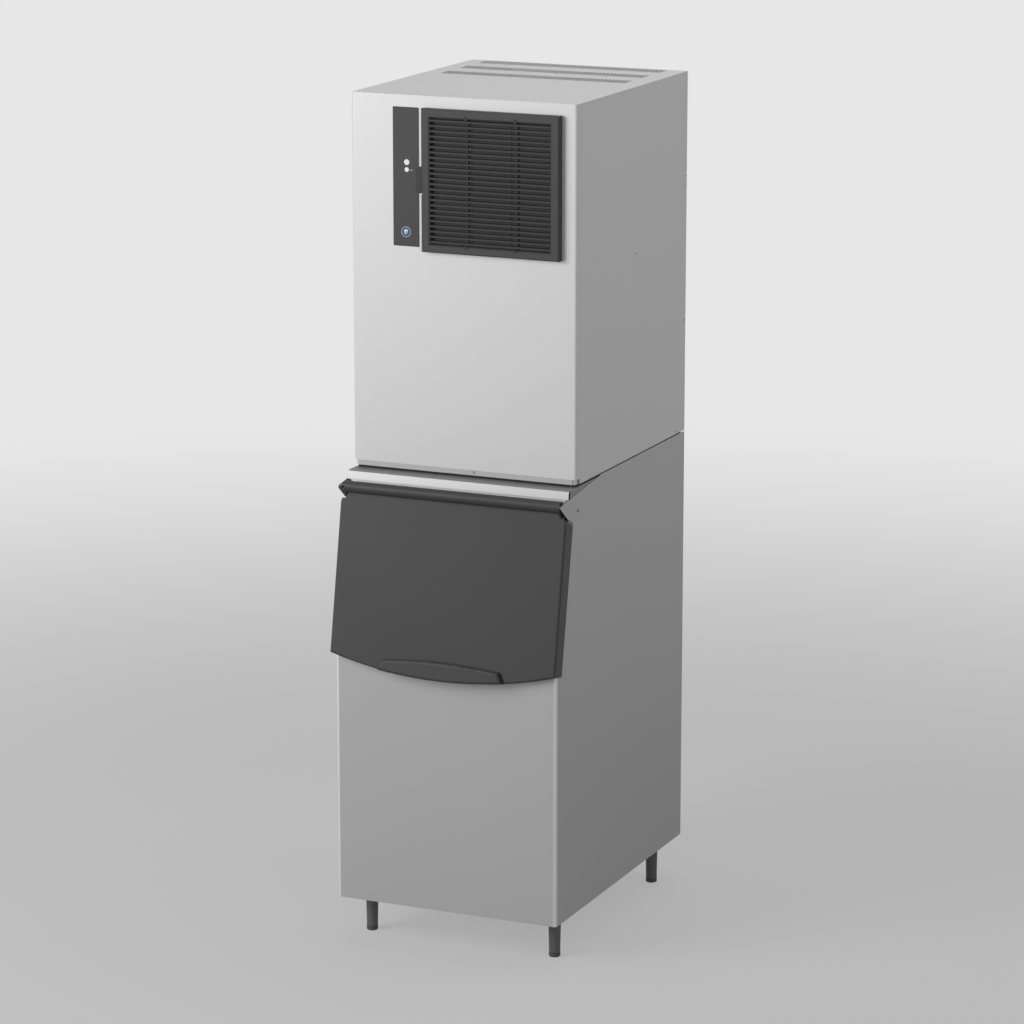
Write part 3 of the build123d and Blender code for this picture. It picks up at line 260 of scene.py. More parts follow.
def makeFinish(name, settings):
    material = bpy.data.materials.new(name)
    material.use_nodes = True
    tree = material.node_tree
    shader = tree.nodes["Principled BSDF"]
    shader.inputs["Metallic"].default_value = settings.get("metallic", 0.0)
    shader.inputs["Coat Weight"].default_value = settings.get("coat", 0.0)
    shader.inputs["Specular IOR Level"].default_value = settings.get("specular", 0.5)
    where = tree.nodes.new("ShaderNodeTexCoord").outputs["Object"]

    tone = addGroup(tree, "tone", {
        "Vector": where,
        "Color": settings["colour"],
        "Roughness": settings["roughness"],
        "Scale": settings.get("cloudScale", 4.0),
        "Color Spread": settings.get("cloudSpread", 0.04),
        "Rough Spread": settings.get("roughSpread", 0.12),
    })
    colour = tone.outputs["Color"]
    roughness = tone.outputs["Roughness"]

    height = None
    if "brush" in settings:
        stretch = tree.nodes.new("ShaderNodeMapping")
        stretch.inputs["Scale"].default_value = settings["brush"]
        tree.links.new(where, stretch.inputs["Vector"])
        grain = addGroup(tree, "brushed", {"Vector": stretch.outputs[0], "Scale": 1.0})
        height = grain.outputs["Height"]
        streak = addMath(tree, "MULTIPLY", addMath(tree, "SUBTRACT", height, 0.5),
                         settings.get("streak", 0.25))
        roughness = addMath(tree, "ADD", roughness, streak)
    if "grain" in settings:
        grain = addGroup(tree, "moulded", {"Vector": where, "Scale": settings["grain"]})
        height = grain.outputs["Height"]
    if "weave" in settings:
        weave = addGroup(tree, "weave", {"Vector": where, "Pitch": settings["weave"]})
        height = weave.outputs["Strand"]
        # painted shade: the holes between the strands take a near black colour
        strand = addMath(tree, "GREATER_THAN", height, 0.86)
        colour = addMix(tree, strand, settings["holeShadeColour"], colour)
    # painted shade: the slats inside the window are mixed towards a darker colour
    if "deep" in settings:
        low, high = settings["deep"]
        deep = addGroup(tree, "deep", {"Vector": where, "Low": low, "High": high})
        colour = addMix(tree, deep.outputs["Mask"], colour, settings["deepColour"])
    # painted highlight: upright rounded folds are mixed towards pale grey
    if "foldHighlight" in settings:
        direction = tree.nodes.new("ShaderNodeTexCoord").outputs["Normal"]
        foldHighlight = addGroup(tree, "foldHighlight", {"Normal": direction, "Amount": settings["foldHighlight"]})
        colour = addMix(tree, foldHighlight.outputs["Mask"], colour, grey(0.9))
    if settings.get("dust", 0) > 0:
        dust = addGroup(tree, "dust", {"Vector": where, "Amount": settings["dust"]})
        colour = addMix(tree, dust.outputs["Mask"], colour, settings.get("dustColour", grey(0.45)))
        roughness = addMath(tree, "ADD", roughness, dust.outputs["Mask"])

    tree.links.new(colour, shader.inputs["Base Color"])
    tree.links.new(roughness, shader.inputs["Roughness"])
    if height is not None:
        bump = tree.nodes.new("ShaderNodeBump")
        bump.inputs["Strength"].default_value = settings.get("bump", 0.1)
        bump.inputs["Distance"].default_value = settings.get("depth", 0.0002)
        tree.links.new(height, bump.inputs["Height"])
        tree.links.new(bump.outputs[0], shader.inputs["Normal"])
    return material


# One finish for each material slot. Brush scales are per metre: small along the strokes.
upBrush = (1500.0, 1500.0, 14.0)
acrossBrush = (14.0, 1500.0, 1500.0)
finishSettings = {
    "case_steel": {
        "colour": grey(0.565), "metallic": 0.28, "roughness": 0.50, "brush": upBrush,
        "streak": 0.12, "bump": 0.05, "cloudScale": 2.0, "cloudSpread": 0.015, "dust": 0.05,
    },
    "bin_steel": {
        "colour": grey(0.418), "metallic": 0.28, "roughness": 0.50, "brush": upBrush,
        "streak": 0.12, "bump": 0.05, "cloudScale": 2.0, "cloudSpread": 0.015, "dust": 0.05,
        # painted highlight on the wrapper's upright rounded folds
        "foldHighlight": 0.7,
    },
    "trim_steel": {
        "colour": grey(0.41), "metallic": 0.4, "roughness": 0.42, "brush": acrossBrush,
        "streak": 0.12, "bump": 0.05, "cloudSpread": 0.015,
    },
    "plain_steel": {
        "colour": grey(0.48), "metallic": 0.7, "roughness": 0.48, "grain": 90.0, "bump": 0.08,
        "cloudScale": 40.0, "cloudSpread": 0.12, "dust": 0.2,
    },
    "pin_steel": {
        "colour": grey(0.62), "metallic": 1.0, "roughness": 0.3, "brush": (1500.0, 60.0, 60.0),
        "bump": 0.08,
    },
    "screw_steel": {
        "colour": grey(0.36), "metallic": 0.85, "roughness": 0.38, "grain": 1600.0,
        "bump": 0.05, "cloudScale": 60.0, "cloudSpread": 0.08,
    },
    "door_plastic": {
        "colour": grey(0.039), "roughness": 0.50, "specular": 0.3, "grain": 1300.0, "bump": 0.16,
        "depth": 0.00018, "cloudScale": 3.0, "cloudSpread": 0.04, "dust": 0.02,
    },
    "grille_plastic": {
        "colour": grey(0.049), "roughness": 0.52, "specular": 0.3, "grain": 1300.0, "bump": 0.16,
        # painted shade for the slats inside the louvre's opening
        "depth": 0.00018, "cloudSpread": 0.04, "dust": 0.05, "deepColour": grey(0.028),
        "deep": (place(-75.9, 0, headLow + 532.1), place(220.9, 0, headLow + 820.9)),
    },
    "filter_plastic": {
        # painted shade in the weave's holes
        "colour": grey(0.012), "roughness": 0.6, "weave": 0.0032, "holeShadeColour": grey(0.002),
        "bump": 0.5, "depth": 0.0004, "dust": 0.05,
    },
    "strip_plastic": {
        "colour": grey(0.045), "roughness": 0.5, "specular": 0.3, "grain": 1500.0, "bump": 0.1,
        "depth": 0.00015, "cloudSpread": 0.03,
    },
    "button_plastic": {
        "colour": grey(0.82), "roughness": 0.3, "grain": 2500.0, "bump": 0.04, "coat": 0.3,
    },
    "lens_plastic": {
        "colour": grey(0.02), "roughness": 0.15, "grain": 2500.0, "bump": 0.02, "coat": 0.6,
    },
    "liner_plastic": {
        "colour": (0.74, 0.76, 0.77, 1), "roughness": 0.36, "grain": 500.0, "bump": 0.06,
        "cloudSpread": 0.03, "coat": 0.1,
    },
    "foam": {
        "colour": (0.75, 0.68, 0.5, 1), "roughness": 0.9, "grain": 420.0, "bump": 0.5,
        "depth": 0.0006, "cloudScale": 30.0, "cloudSpread": 0.1,
    },
    "tape_foam": {
        "colour": grey(0.018), "roughness": 0.92, "grain": 700.0, "bump": 0.5, "depth": 0.0005,
    },
    "seal_rubber": {
        "colour": grey(0.035), "roughness": 0.62, "grain": 1100.0, "bump": 0.12,
    },
    "leg_plastic": {
        "colour": grey(0.10), "roughness": 0.48, "grain": 1200.0, "bump": 0.15, "dust": 0.1,
    },
    "foot_plastic": {
        "colour": grey(0.055), "roughness": 0.55, "grain": 1000.0, "bump": 0.2, "dust": 0.15,
    },
    "copper": {
        "colour": (0.70, 0.36, 0.22, 1), "metallic": 1.0, "roughness": 0.34, "grain": 300.0,
        "bump": 0.05, "cloudScale": 45.0, "cloudSpread": 0.14,
    },
    "tinned_copper": {
        "colour": (0.68, 0.68, 0.67, 1), "metallic": 1.0, "roughness": 0.3, "grain": 260.0,
        "bump": 0.06, "cloudScale": 50.0, "cloudSpread": 0.08,
    },
    "fin_aluminium": {
        "colour": (0.66, 0.67, 0.69, 1), "metallic": 1.0, "roughness": 0.42,
        "brush": (520.0, 4.0, 4.0), "streak": 0.4, "bump": 0.7, "depth": 0.0012,
    },
    "black_paint": {
        "colour": grey(0.02), "roughness": 0.32, "grain": 420.0, "bump": 0.08, "coat": 0.35,
        "dust": 0.12,
    },
    "board_green": {
        "colour": (0.03, 0.12, 0.05, 1), "roughness": 0.4, "grain": 700.0, "bump": 0.12,
        "cloudScale": 60.0, "cloudSpread": 0.12, "coat": 0.3,
    },
    "tray_plastic": {
        "colour": (0.68, 0.70, 0.72, 1), "roughness": 0.45, "grain": 800.0, "bump": 0.1,
    },
    "pan_plastic": {
        "colour": (0.58, 0.60, 0.62, 1), "roughness": 0.5, "grain": 800.0, "bump": 0.1,
    },
    "fan_plastic": {
        "colour": grey(0.03), "roughness": 0.45, "grain": 900.0, "bump": 0.12, "dust": 0.2,
    },
    "brass": {
        "colour": (0.74, 0.56, 0.28, 1), "metallic": 1.0, "roughness": 0.3,
        "brush": (40.0, 1200.0, 40.0), "bump": 0.08, "cloudScale": 30.0, "cloudSpread": 0.08,
    },
}
finishes = {name: makeFinish(name, settings) for name, settings in finishSettings.items()}

lidFinish = dict(finishSettings["case_steel"], brush=acrossBrush, dust=0.08)
# painted shade: a darker copy of the bin's steel for the deck, in the shadow under the head
shadedDeckFinish = dict(finishSettings["bin_steel"], brush=acrossBrush, colour=grey(0.23))
finishes["lid_steel"] = makeFinish("lid_steel", lidFinish)
finishes["deck_shaded_steel"] = makeFinish("deck_shaded_steel", shadedDeckFinish)
finishes["bracket_steel"] = makeFinish("bracket_steel",
                                       dict(finishSettings["screw_steel"], colour=grey(0.14)))
finishes["collar_steel"] = makeFinish("collar_steel", dict(finishSettings["bin_steel"], foldHighlight=0.0))
ownFinish = {"top_panel": "lid_steel", "top_deck": "deck_shaded_steel"}

for name, node in nodes.items():
    finish = finishes[ownFinish.get(name, slotOfNode[name])]
    for materialSlot in node.material_slots:
        materialSlot.material = finish
print("finishes assigned:", len(finishes))


# Geometry Nodes: small helpers, then one tree for each thing that repeats

def newTree(name, inputs):
    tree = bpy.data.node_groups.new(name, "GeometryNodeTree")
    tree.interface.new_socket("Geometry", in_out="INPUT", socket_type="NodeSocketGeometry")
    for label, kind, value in inputs:
        socket = tree.interface.new_socket(label, in_out="INPUT", socket_type=kind)
        if value is not None:
            socket.default_value = value
    tree.interface.new_socket("Geometry", in_out="OUTPUT", socket_type="NodeSocketGeometry")
    start = tree.nodes.new("NodeGroupInput")
    return tree, start


def addNode(tree, kind, values=None, **settings):
    node = tree.nodes.new(kind)
    for label, value in settings.items():
        setattr(node, label, value)
    for label, value in (values or {}).items():
        if hasattr(value, "is_output"):
            tree.links.new(value, node.inputs[label])
        else:
            node.inputs[label].default_value = value
    return node


def endTree(tree, start, geometry):
    real = addNode(tree, "GeometryNodeRealizeInstances", {"Geometry": geometry})
    painted = addNode(tree, "GeometryNodeSetMaterial",
                      {"Geometry": real.outputs[0], "Material": start.outputs["Material"]})
    end = tree.nodes.new("NodeGroupOutput")
    tree.links.new(painted.outputs[0], end.inputs[0])


def makeFromTree(name, tree, values, points, facings=None, sizes=None):
    # evaluates the tree on a cloud of loose points and keeps the plain mesh
    cloud = bpy.data.meshes.new(name + "_points")
    cloud.from_pydata([tuple(point) for point in points], [], [])
    if facings:
        attribute = cloud.attributes.new("facing", "FLOAT_VECTOR", "POINT")
        for entry, facing in zip(attribute.data, facings):
            entry.vector = facing
    if sizes:
        attribute = cloud.attributes.new("size", "FLOAT", "POINT")
        for entry, size in zip(attribute.data, sizes):
            entry.value = size
    source = bpy.data.objects.new(name + "_source", cloud)
    bpy.context.scene.collection.objects.link(source)
    modifier = source.modifiers.new("tree", "NODES")
    modifier.node_group = tree
    for item in tree.interface.items_tree:
        if item.in_out == "INPUT" and item.name in values:
            modifier[item.identifier] = values[item.name]
    evaluated = source.evaluated_get(bpy.context.evaluated_depsgraph_get())
    mesh = bpy.data.meshes.new_from_object(evaluated)
    mesh.name = name
    source.modifiers.remove(modifier)
    bpy.data.objects.remove(source)
    piece = bpy.data.objects.new(name, mesh)
    bpy.context.scene.collection.objects.link(piece)
    return piece


def smooth(piece, angle=35):
    # rounded faces shade smooth, and edges sharper than the angle stay crisp
    mesh = piece.data
    shape = bmesh.new()
    shape.from_mesh(mesh)
    for face in shape.faces:
        face.smooth = True
    for edge in shape.edges:
        if len(edge.link_faces) == 2 and edge.calc_face_angle() > math.radians(angle):
            edge.smooth = False
    shape.to_mesh(mesh)
    shape.free()


# Case screws: a domed head with a cross recess on each place

def buildScrewTree():
    tree, start = newTree("crossScrews", [
        ("Head Radius", "NodeSocketFloat", 0.004),
        ("Head Height", "NodeSocketFloat", 0.0018),
        ("Shank Radius", "NodeSocketFloat", 0.00185),
        ("Shank Length", "NodeSocketFloat", 0.004),
        ("Recess Width", "NodeSocketFloat", 0.0009),
        ("Seed", "NodeSocketInt", 3),
        ("Material", "NodeSocketMaterial", None),
    ])
    sizes = start.outputs
    topRadius = addNode(tree, "ShaderNodeMath", {0: sizes["Head Radius"], 1: 0.72},
                        operation="MULTIPLY")
    head = addNode(tree, "GeometryNodeMeshCone", {
        "Vertices": 28, "Side Segments": 1, "Radius Top": topRadius.outputs[0],
        "Radius Bottom": sizes["Head Radius"], "Depth": sizes["Head Height"]})
    recessLong = addNode(tree, "ShaderNodeMath", {0: sizes["Head Radius"], 1: 1.05},
                         operation="MULTIPLY")
    bars = []
    for first, second in ((0, 1), (1, 0)):
        lengths = (recessLong.outputs[0], sizes["Recess Width"])
        size = addNode(tree, "ShaderNodeCombineXYZ", {
            "X": lengths[first], "Y": lengths[second], "Z": sizes["Head Height"]})
        bar = addNode(tree, "GeometryNodeMeshCube", {"Size": size.outputs[0]})
        lift = addNode(tree, "ShaderNodeCombineXYZ", {"Z": sizes["Head Height"]})
        moved = addNode(tree, "GeometryNodeTransform",
                        {"Geometry": bar.outputs[0], "Translation": lift.outputs[0]})
        bars.append(moved.outputs[0])
    cut = addNode(tree, "GeometryNodeMeshBoolean", {"Mesh 1": head.outputs["Mesh"]},
                  operation="DIFFERENCE")
    for bar in bars:
        tree.links.new(bar, cut.inputs["Mesh 2"])
    shank = addNode(tree, "GeometryNodeMeshCylinder", {
        "Vertices": 16, "Radius": sizes["Shank Radius"], "Depth": sizes["Shank Length"]})
    drop = addNode(tree, "ShaderNodeMath", {0: sizes["Shank Length"], 1: -0.5},
                   operation="MULTIPLY")
    dropVector = addNode(tree, "ShaderNodeCombineXYZ", {"Z": drop.outputs[0]})
    low = addNode(tree, "GeometryNodeTransform", {
        "Geometry": shank.outputs["Mesh"], "Translation": dropVector.outputs[0]})
    whole = addNode(tree, "GeometryNodeJoinGeometry")
    tree.links.new(cut.outputs["Mesh"], whole.inputs[0])
    tree.links.new(low.outputs[0], whole.inputs[0])
    facing = addNode(tree, "GeometryNodeInputNamedAttribute", {"Name": "facing"},
                     data_type="FLOAT_VECTOR")
    size = addNode(tree, "GeometryNodeInputNamedAttribute", {"Name": "size"}, data_type="FLOAT")
    turn = addNode(tree, "FunctionNodeRandomValue",
                   {"Min": -1.5, "Max": 1.5, "Seed": sizes["Seed"]}, data_type="FLOAT")
    turnVector = addNode(tree, "ShaderNodeCombineXYZ", {"Z": turn.outputs["Value"]})
    spun = addNode(tree, "FunctionNodeEulerToRotation", {"Euler": turnVector.outputs[0]})
    aim = addNode(tree, "FunctionNodeAlignRotationToVector",
                  {"Vector": facing.outputs["Attribute"]}, axis="Z")
    both = addNode(tree, "FunctionNodeRotateRotation", {
        "Rotation": aim.outputs[0], "Rotate By": spun.outputs[0]}, rotation_space="LOCAL")
    placed = addNode(tree, "GeometryNodeInstanceOnPoints", {
        "Points": start.outputs["Geometry"], "Instance": whole.outputs[0],
        "Rotation": both.outputs[0], "Scale": size.outputs["Attribute"]})
    endTree(tree, start, placed.outputs[0])
    return tree


screwTree = buildScrewTree()
caseScrews = {
    "sideY": (346.0, 614.0, 658.0, 658.0, 658.0, 658.0),
    "sideZ": (481.6, 8.0, 272.6, 575.0, 600.0, 622.0),
    "sideX": 280.0,
    "front": (24.0, 1.5, 7.0),
    "frontSize": 0.8,
    "lid": (16.0, 489.5, 865.25),
    "lidSize": 1.5,
    "headRadius": 0.0040,
}
points, facings, sizes = [], [], []
for side in (-1, 1):
    for y, z in zip(caseScrews["sideY"], caseScrews["sideZ"]):
        points.append(place(side * caseScrews["sideX"], y, headLow + z))
        facings.append((side, 0, 0))
        sizes.append(1.0)
for name, facing in (("front", (0, -1, 0)), ("lid", (0, 0, 1))):
    x, y, z = caseScrews[name]
    points.append(place(x, y, headLow + z))
    facings.append(facing)
    sizes.append(caseScrews[name + "Size"])
headScrews = makeFromTree(
    "case_screws", screwTree,
    {"Material": finishes["screw_steel"], "Head Radius": caseScrews["headRadius"], "Seed": 5},
    points, facings, sizes)
smooth(headScrews)
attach(headScrews, "cabinet")
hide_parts("head_screws")

bracketScrews = {"x": 280.0, "y": 10.0, "drop": 60.0, "headRadius": 0.0045, "headHeight": 0.002,
                 "shankRadius": 0.00235, "shankLength": 0.0077}
points = [place(side * bracketScrews["x"], bracketScrews["y"], headLow - bracketScrews["drop"])
          for side in (-1, 1)]
binScrews = makeFromTree(
    "bracket_screws", screwTree,
    {"Material": finishes["bracket_steel"], "Head Radius": bracketScrews["headRadius"],
     "Head Height": bracketScrews["headHeight"], "Shank Radius": bracketScrews["shankRadius"],
     "Shank Length": bracketScrews["shankLength"], "Seed": 8},
    points, [(-1, 0, 0), (1, 0, 0)], [1.0, 1.0])
smooth(binScrews)
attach(binScrews, "cabinet")
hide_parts("bin_screws")
print("screws made:", len(caseScrews["sideY"]) * 2 + 4)


# Threads: a helix with a three-sided profile, on the water inlet and the feet's stems

def buildThreadTree():
    tree, start = newTree("thread", [
        ("Radius", "NodeSocketFloat", 0.013),
        ("Length", "NodeSocketFloat", 0.018),
        ("Turns", "NodeSocketFloat", 9.0),
        ("Ridge", "NodeSocketFloat", 0.0007),
        ("Resolution", "NodeSocketInt", 28),
        ("Material", "NodeSocketMaterial", None),
    ])
    sizes = start.outputs
    helix = addNode(tree, "GeometryNodeCurveSpiral", {
        "Resolution": sizes["Resolution"], "Rotations": sizes["Turns"],
        "Start Radius": sizes["Radius"], "End Radius": sizes["Radius"],
        "Height": sizes["Length"]})
    profile = addNode(tree, "GeometryNodeCurvePrimitiveCircle",
                      {"Resolution": 4, "Radius": sizes["Ridge"]})
    ridge = addNode(tree, "GeometryNodeCurveToMesh", {
        "Curve": helix.outputs[0], "Profile Curve": profile.outputs[0], "Fill Caps": True})
    facing = addNode(tree, "GeometryNodeInputNamedAttribute", {"Name": "facing"},
                     data_type="FLOAT_VECTOR")
    aim = addNode(tree, "FunctionNodeAlignRotationToVector",
                  {"Vector": facing.outputs["Attribute"]}, axis="Z")
    placed = addNode(tree, "GeometryNodeInstanceOnPoints", {
        "Points": start.outputs["Geometry"], "Instance": ridge.outputs[0],
        "Rotation": aim.outputs[0]})
    endTree(tree, start, placed.outputs[0])
    return tree


threadTree = buildThreadTree()
inletThread = {"x": 190.0, "y": 669.4, "z": 420.0, "radius": 0.0126, "length": 0.0165,
               "turns": 9.0, "ridge": 0.0009}
thread = makeFromTree(
    "inlet_thread", threadTree,
    {"Material": finishes["brass"], "Radius": inletThread["radius"],
     "Length": inletThread["length"], "Turns": inletThread["turns"],
     "Ridge": inletThread["ridge"], "Resolution": 36},
    [place(inletThread["x"], inletThread["y"], headLow + inletThread["z"])], [(0, 1, 0)])
smooth(thread, 50)
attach(thread, "cabinet")

stemThread = {"radius": 0.0046, "low": 12.5, "length": 0.038, "turns": 19.0, "ridge": 0.0004}
footPlaces = {
    "front_left": (-236.0, -15.0), "front_right": (236.0, -15.0),
    "rear_left": (-236.0, 586.0), "rear_right": (236.0, 586.0),
}
for name, (x, y) in footPlaces.items():
    thread = makeFromTree(
        "stem_thread_" + name, threadTree,
        {"Material": finishes["foot_plastic"], "Radius": stemThread["radius"],
         "Length": stemThread["length"], "Turns": stemThread["turns"],
         "Ridge": stemThread["ridge"], "Resolution": 20},
        [place(x, y, stemThread["low"])], [(0, 0, 1)])
    smooth(thread, 50)
    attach(thread, "foot_" + name)
print("threads made:", len(footPlaces) + 1)


# Pale collars where the legs meet their mounting plates

def buildCollarTree():
    tree, start = newTree("legCollars", [
        ("Radius", "NodeSocketFloat", 0.017),
        ("Wall", "NodeSocketFloat", 0.004),
        ("Height", "NodeSocketFloat", 0.009),
        ("Rounding", "NodeSocketFloat", 0.0012),
        ("Material", "NodeSocketMaterial", None),
    ])
    sizes = start.outputs
    path = addNode(tree, "GeometryNodeCurvePrimitiveCircle",
                   {"Resolution": 48, "Radius": sizes["Radius"]})
    section = addNode(tree, "GeometryNodeCurvePrimitiveQuadrilateral",
                      {"Width": sizes["Height"], "Height": sizes["Wall"]})
    rounded = addNode(tree, "GeometryNodeFilletCurve", {
        "Curve": section.outputs[0], "Radius": sizes["Rounding"], "Count": 3}, mode="POLY")
    ring = addNode(tree, "GeometryNodeCurveToMesh",
                   {"Curve": path.outputs[0], "Profile Curve": rounded.outputs[0]})
    placed = addNode(tree, "GeometryNodeInstanceOnPoints", {
        "Points": start.outputs["Geometry"], "Instance": ring.outputs[0]})
    endTree(tree, start, placed.outputs[0])
    return tree


legCollars = {"z": 91.9, "radius": 0.0172, "wall": 0.0040, "height": 0.0140, "rounding": 0.0012}
points = [place(x, y, legCollars["z"]) for x, y in footPlaces.values()]
collars = makeFromTree(
    "leg_collars", buildCollarTree(),
    {"Material": finishes["collar_steel"], "Radius": legCollars["radius"],
     "Wall": legCollars["wall"], "Height": legCollars["height"],
     "Rounding": legCollars["rounding"]}, points)
smooth(collars, 50)
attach(collars, "cabinet")
print("collars made:", len(points))


# Clips that hold the slats' ribs to the louvre frame

def buildClipTree():
    tree, start = newTree("louvreClips", [
        ("Size", "NodeSocketVector", (0.005, 0.003, 0.006)),
        ("Corner", "NodeSocketFloat", 0.001),
        ("Material", "NodeSocketMaterial", None),
    ])
    block = addNode(tree, "GeometryNodeMeshCube", {"Size": start.outputs["Size"]})
    placed = addNode(tree, "GeometryNodeInstanceOnPoints", {
        "Points": start.outputs["Geometry"], "Instance": block.outputs["Mesh"]})
    endTree(tree, start, placed.outputs[0])
    return tree


louvreClips = {"x": (14.0, 136.0), "z": (530.0, 822.6), "y": -15.6, "size": (0.0064, 0.0036, 0.0056)}
points = [place(x, louvreClips["y"], headLow + z) for x in louvreClips["x"]
          for z in louvreClips["z"]]
clips = makeFromTree("louvre_clips", buildClipTree(),
                     {"Material": finishes["filter_plastic"], "Size": louvreClips["size"]}, points)
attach(clips, "cabinet")
print("clips made:", len(points))


# Marks on the control strip: a plain ice cube badge and a small printed dash

def makePlates(name, outlines, y, thickness, materials):
    # flat outlines in x and z, raised towards the front; one material for each outline
    shape = bmesh.new()
    for index, outline in enumerate(outlines):
        low = [shape.verts.new(place(x, y, z)) for x, z in outline]
        high = [shape.verts.new(place(x, y - thickness, z)) for x, z in outline]
        faces = [shape.faces.new(high), shape.faces.new(list(reversed(low)))]
        for i in range(len(outline)):
            j = (i + 1) % len(outline)
            faces.append(shape.faces.new((low[i], low[j], high[j], high[i])))
        for face in faces:
            face.material_index = index if index < len(materials) else len(materials) - 1
    bmesh.ops.recalc_face_normals(shape, faces=shape.faces)
    mesh = bpy.data.meshes.new(name)
    shape.to_mesh(mesh)
    shape.free()
    for material in materials:
        mesh.materials.append(material)
    piece = bpy.data.objects.new(name, mesh)
    bpy.context.scene.collection.objects.link(piece)
    return piece


badge = {"x": -143.0, "z": 554.6, "radius": 12.0, "ring": 1.4, "cube": 6.6, "raised": 0.15,
         "light": (0.62, 0.74, 0.84, 1), "middle": (0.34, 0.50, 0.66, 1),
         "deep": (0.13, 0.26, 0.42, 1)}
stripFront = -1.0
badgeFinishes = []
for tone in ("light", "middle", "deep"):
    badgeFinishes.append(makeFinish("badge_" + tone, {
        "colour": badge[tone], "roughness": 0.35, "grain": 2500.0, "bump": 0.03,
        "cloudScale": 300.0, "cloudSpread": 0.05}))
corners = []
for turn in range(6):
    angle = math.radians(90 + 60 * turn)
    corners.append((badge["x"] + badge["cube"] * math.cos(angle),
                    headLow + badge["z"] + badge["cube"] * math.sin(angle)))
centre = (badge["x"], headLow + badge["z"])
top = [corners[0], corners[1], centre, corners[5]]
left = [corners[1], corners[2], corners[3], centre]
right = [centre, corners[3], corners[4], corners[5]]
ringParts = []
steps = 48
for step in range(steps):
    angles = (2 * math.pi * step / steps, 2 * math.pi * (step + 1) / steps)
    outer = [(badge["x"] + badge["radius"] * math.cos(a),
              headLow + badge["z"] + badge["radius"] * math.sin(a)) for a in angles]
    inner = [(badge["x"] + (badge["radius"] - badge["ring"]) * math.cos(a),
              headLow + badge["z"] + (badge["radius"] - badge["ring"]) * math.sin(a))
             for a in reversed(angles)]
    ringParts.append(outer + inner)
cubeBadge = makePlates("strip_badge", [top, left, right], stripFront, badge["raised"],
                       badgeFinishes)
badgeRing = makePlates("strip_badge_ring", ringParts, stripFront, badge["raised"],
                       [badgeFinishes[1]])
dashes = {"x": -129.5, "z": 697.0, "long": 6.0, "tall": 1.1, "raised": 0.1}
dashOutline = [(dashes["x"] - dashes["long"] / 2, headLow + dashes["z"] - dashes["tall"] / 2),
               (dashes["x"] + dashes["long"] / 2, headLow + dashes["z"] - dashes["tall"] / 2),
               (dashes["x"] + dashes["long"] / 2, headLow + dashes["z"] + dashes["tall"] / 2),
               (dashes["x"] - dashes["long"] / 2, headLow + dashes["z"] + dashes["tall"] / 2)]
stripDash = makePlates("strip_dash", [dashOutline], stripFront, dashes["raised"],
                       [finishes["button_plastic"]])
for piece in (cubeBadge, badgeRing, stripDash):
    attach(piece, "cabinet")
print("control strip marked")


# Floor, light and camera

studio = {
    "floorSize": 60.0,
    "floorColour": grey(0.34),
    "floorPale": (0.45, 1.0),  # share of plain pale tone on the floor: near, far
    "floorFade": (1.2, 6.0),
    "worldStrength": 0.18,
    "paleColour": grey(0.80),
    "lamps": {
        "keyLamp": ((-3.0, -3.8, 2.8), (3.0, 3.0), 194.0),
        "fillLamp": ((3.4, 1.6, 3.6), (1.8, 1.8), 17.0),
        "edgeLamp": ((3.2, -3.8, 2.2), (0.6, 2.6), 29.0),
        "topLamp": ((0.2, 1.0, 4.6), (2.6, 2.6), 36.0),
    },
    "aim": (0.0, 0.0, 1.35),
}


def addPale(tree, below, share):
    # camera, glossy and transmission rays see a plain pale tone, other rays what is below
    path = tree.nodes.new("ShaderNodeLightPath")
    seen = addMath(tree, "MAXIMUM", path.outputs["Is Camera Ray"], path.outputs["Is Glossy Ray"])
    seen = addMath(tree, "MAXIMUM", seen, path.outputs["Is Transmission Ray"])
    pale = tree.nodes.new("ShaderNodeEmission")
    pale.inputs["Color"].default_value = studio["paleColour"]
    mix = tree.nodes.new("ShaderNodeMixShader")
    tree.links.new(addMath(tree, "MULTIPLY", seen, share), mix.inputs["Fac"])
    tree.links.new(below, mix.inputs[1])
    tree.links.new(pale.outputs[0], mix.inputs[2])
    return mix.outputs[0]


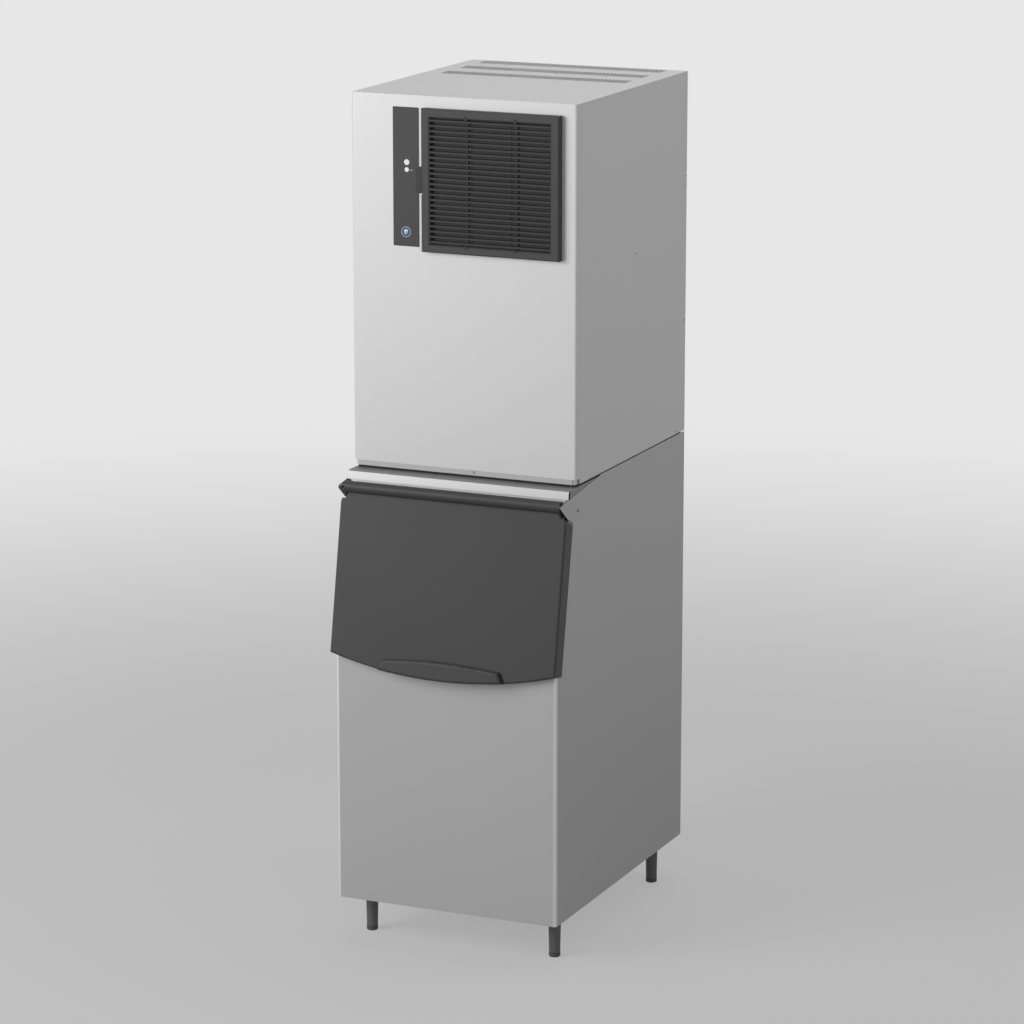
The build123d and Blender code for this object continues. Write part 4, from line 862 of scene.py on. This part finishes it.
def makeFloor():
    mesh = bpy.data.meshes.new("studio_floor")
    half = studio["floorSize"] / 2
    mesh.from_pydata([(-half, -half, 0), (half, -half, 0), (half, half, 0), (-half, half, 0)],
                     [], [(0, 1, 2, 3)])
    floor = bpy.data.objects.new("studio_floor", mesh)
    bpy.context.scene.collection.objects.link(floor)
    paper = makeFinish("studio_paper", {
        "colour": studio["floorColour"], "roughness": 0.85, "grain": 60.0, "bump": 0.03,
        "cloudScale": 1.0, "cloudSpread": 0.01})
    tree = paper.node_tree
    away = tree.nodes.new("ShaderNodeVectorMath")
    away.operation = "LENGTH"
    tree.links.new(tree.nodes.new("ShaderNodeTexCoord").outputs["Object"], away.inputs[0])
    fade = tree.nodes.new("ShaderNodeMapRange")
    fade.interpolation_type = "SMOOTHSTEP"
    tree.links.new(away.outputs["Value"], fade.inputs["Value"])
    fade.inputs["From Min"].default_value, fade.inputs["From Max"].default_value = studio["floorFade"]
    fade.inputs["To Min"].default_value, fade.inputs["To Max"].default_value = studio["floorPale"]
    surface = addPale(tree, tree.nodes["Principled BSDF"].outputs[0], fade.outputs["Result"])
    tree.links.new(surface, tree.nodes["Material Output"].inputs["Surface"])
    mesh.materials.append(paper)


def makeWorld():
    world = bpy.data.worlds.new("studio_world")
    world.use_nodes = True
    tree = world.node_tree
    light = tree.nodes["Background"]
    light.inputs["Color"].default_value = grey(1.0)
    light.inputs["Strength"].default_value = studio["worldStrength"]
    surface = addPale(tree, light.outputs[0], 1.0)
    tree.links.new(surface, tree.nodes["World Output"].inputs["Surface"])
    bpy.context.scene.world = world


def makeLamp(name, position, size, power):
    lamp = bpy.data.lights.new(name, "AREA")
    lamp.shape = "RECTANGLE"
    lamp.size, lamp.size_y = size
    lamp.energy = power
    holder = bpy.data.objects.new(name, lamp)
    bpy.context.scene.collection.objects.link(holder)
    holder.location = position
    aim = Vector(studio["aim"]) - Vector(position)
    holder.rotation_euler = aim.to_track_quat("-Z", "Y").to_euler()


makeFloor()
makeWorld()
for name, (position, size, power) in studio["lamps"].items():
    makeLamp(name, position, size, power)

view = {"location": (3.79659, -8.54853, 3.17560), "pitch": 0.23058, "azimuth": 0.41799,
        "lens": 142.86}
lens = bpy.data.cameras.new("photo_view")
lens.lens = view["lens"]
lens.sensor_width = 36.0
camera = bpy.data.objects.new("photo_view", lens)
bpy.context.scene.collection.objects.link(camera)
camera.location = view["location"]
camera.rotation_euler = (math.pi / 2 - view["pitch"], 0, view["azimuth"])
bpy.context.scene.camera = camera
bpy.context.scene.view_settings.view_transform = "Standard"
print("studio ready")
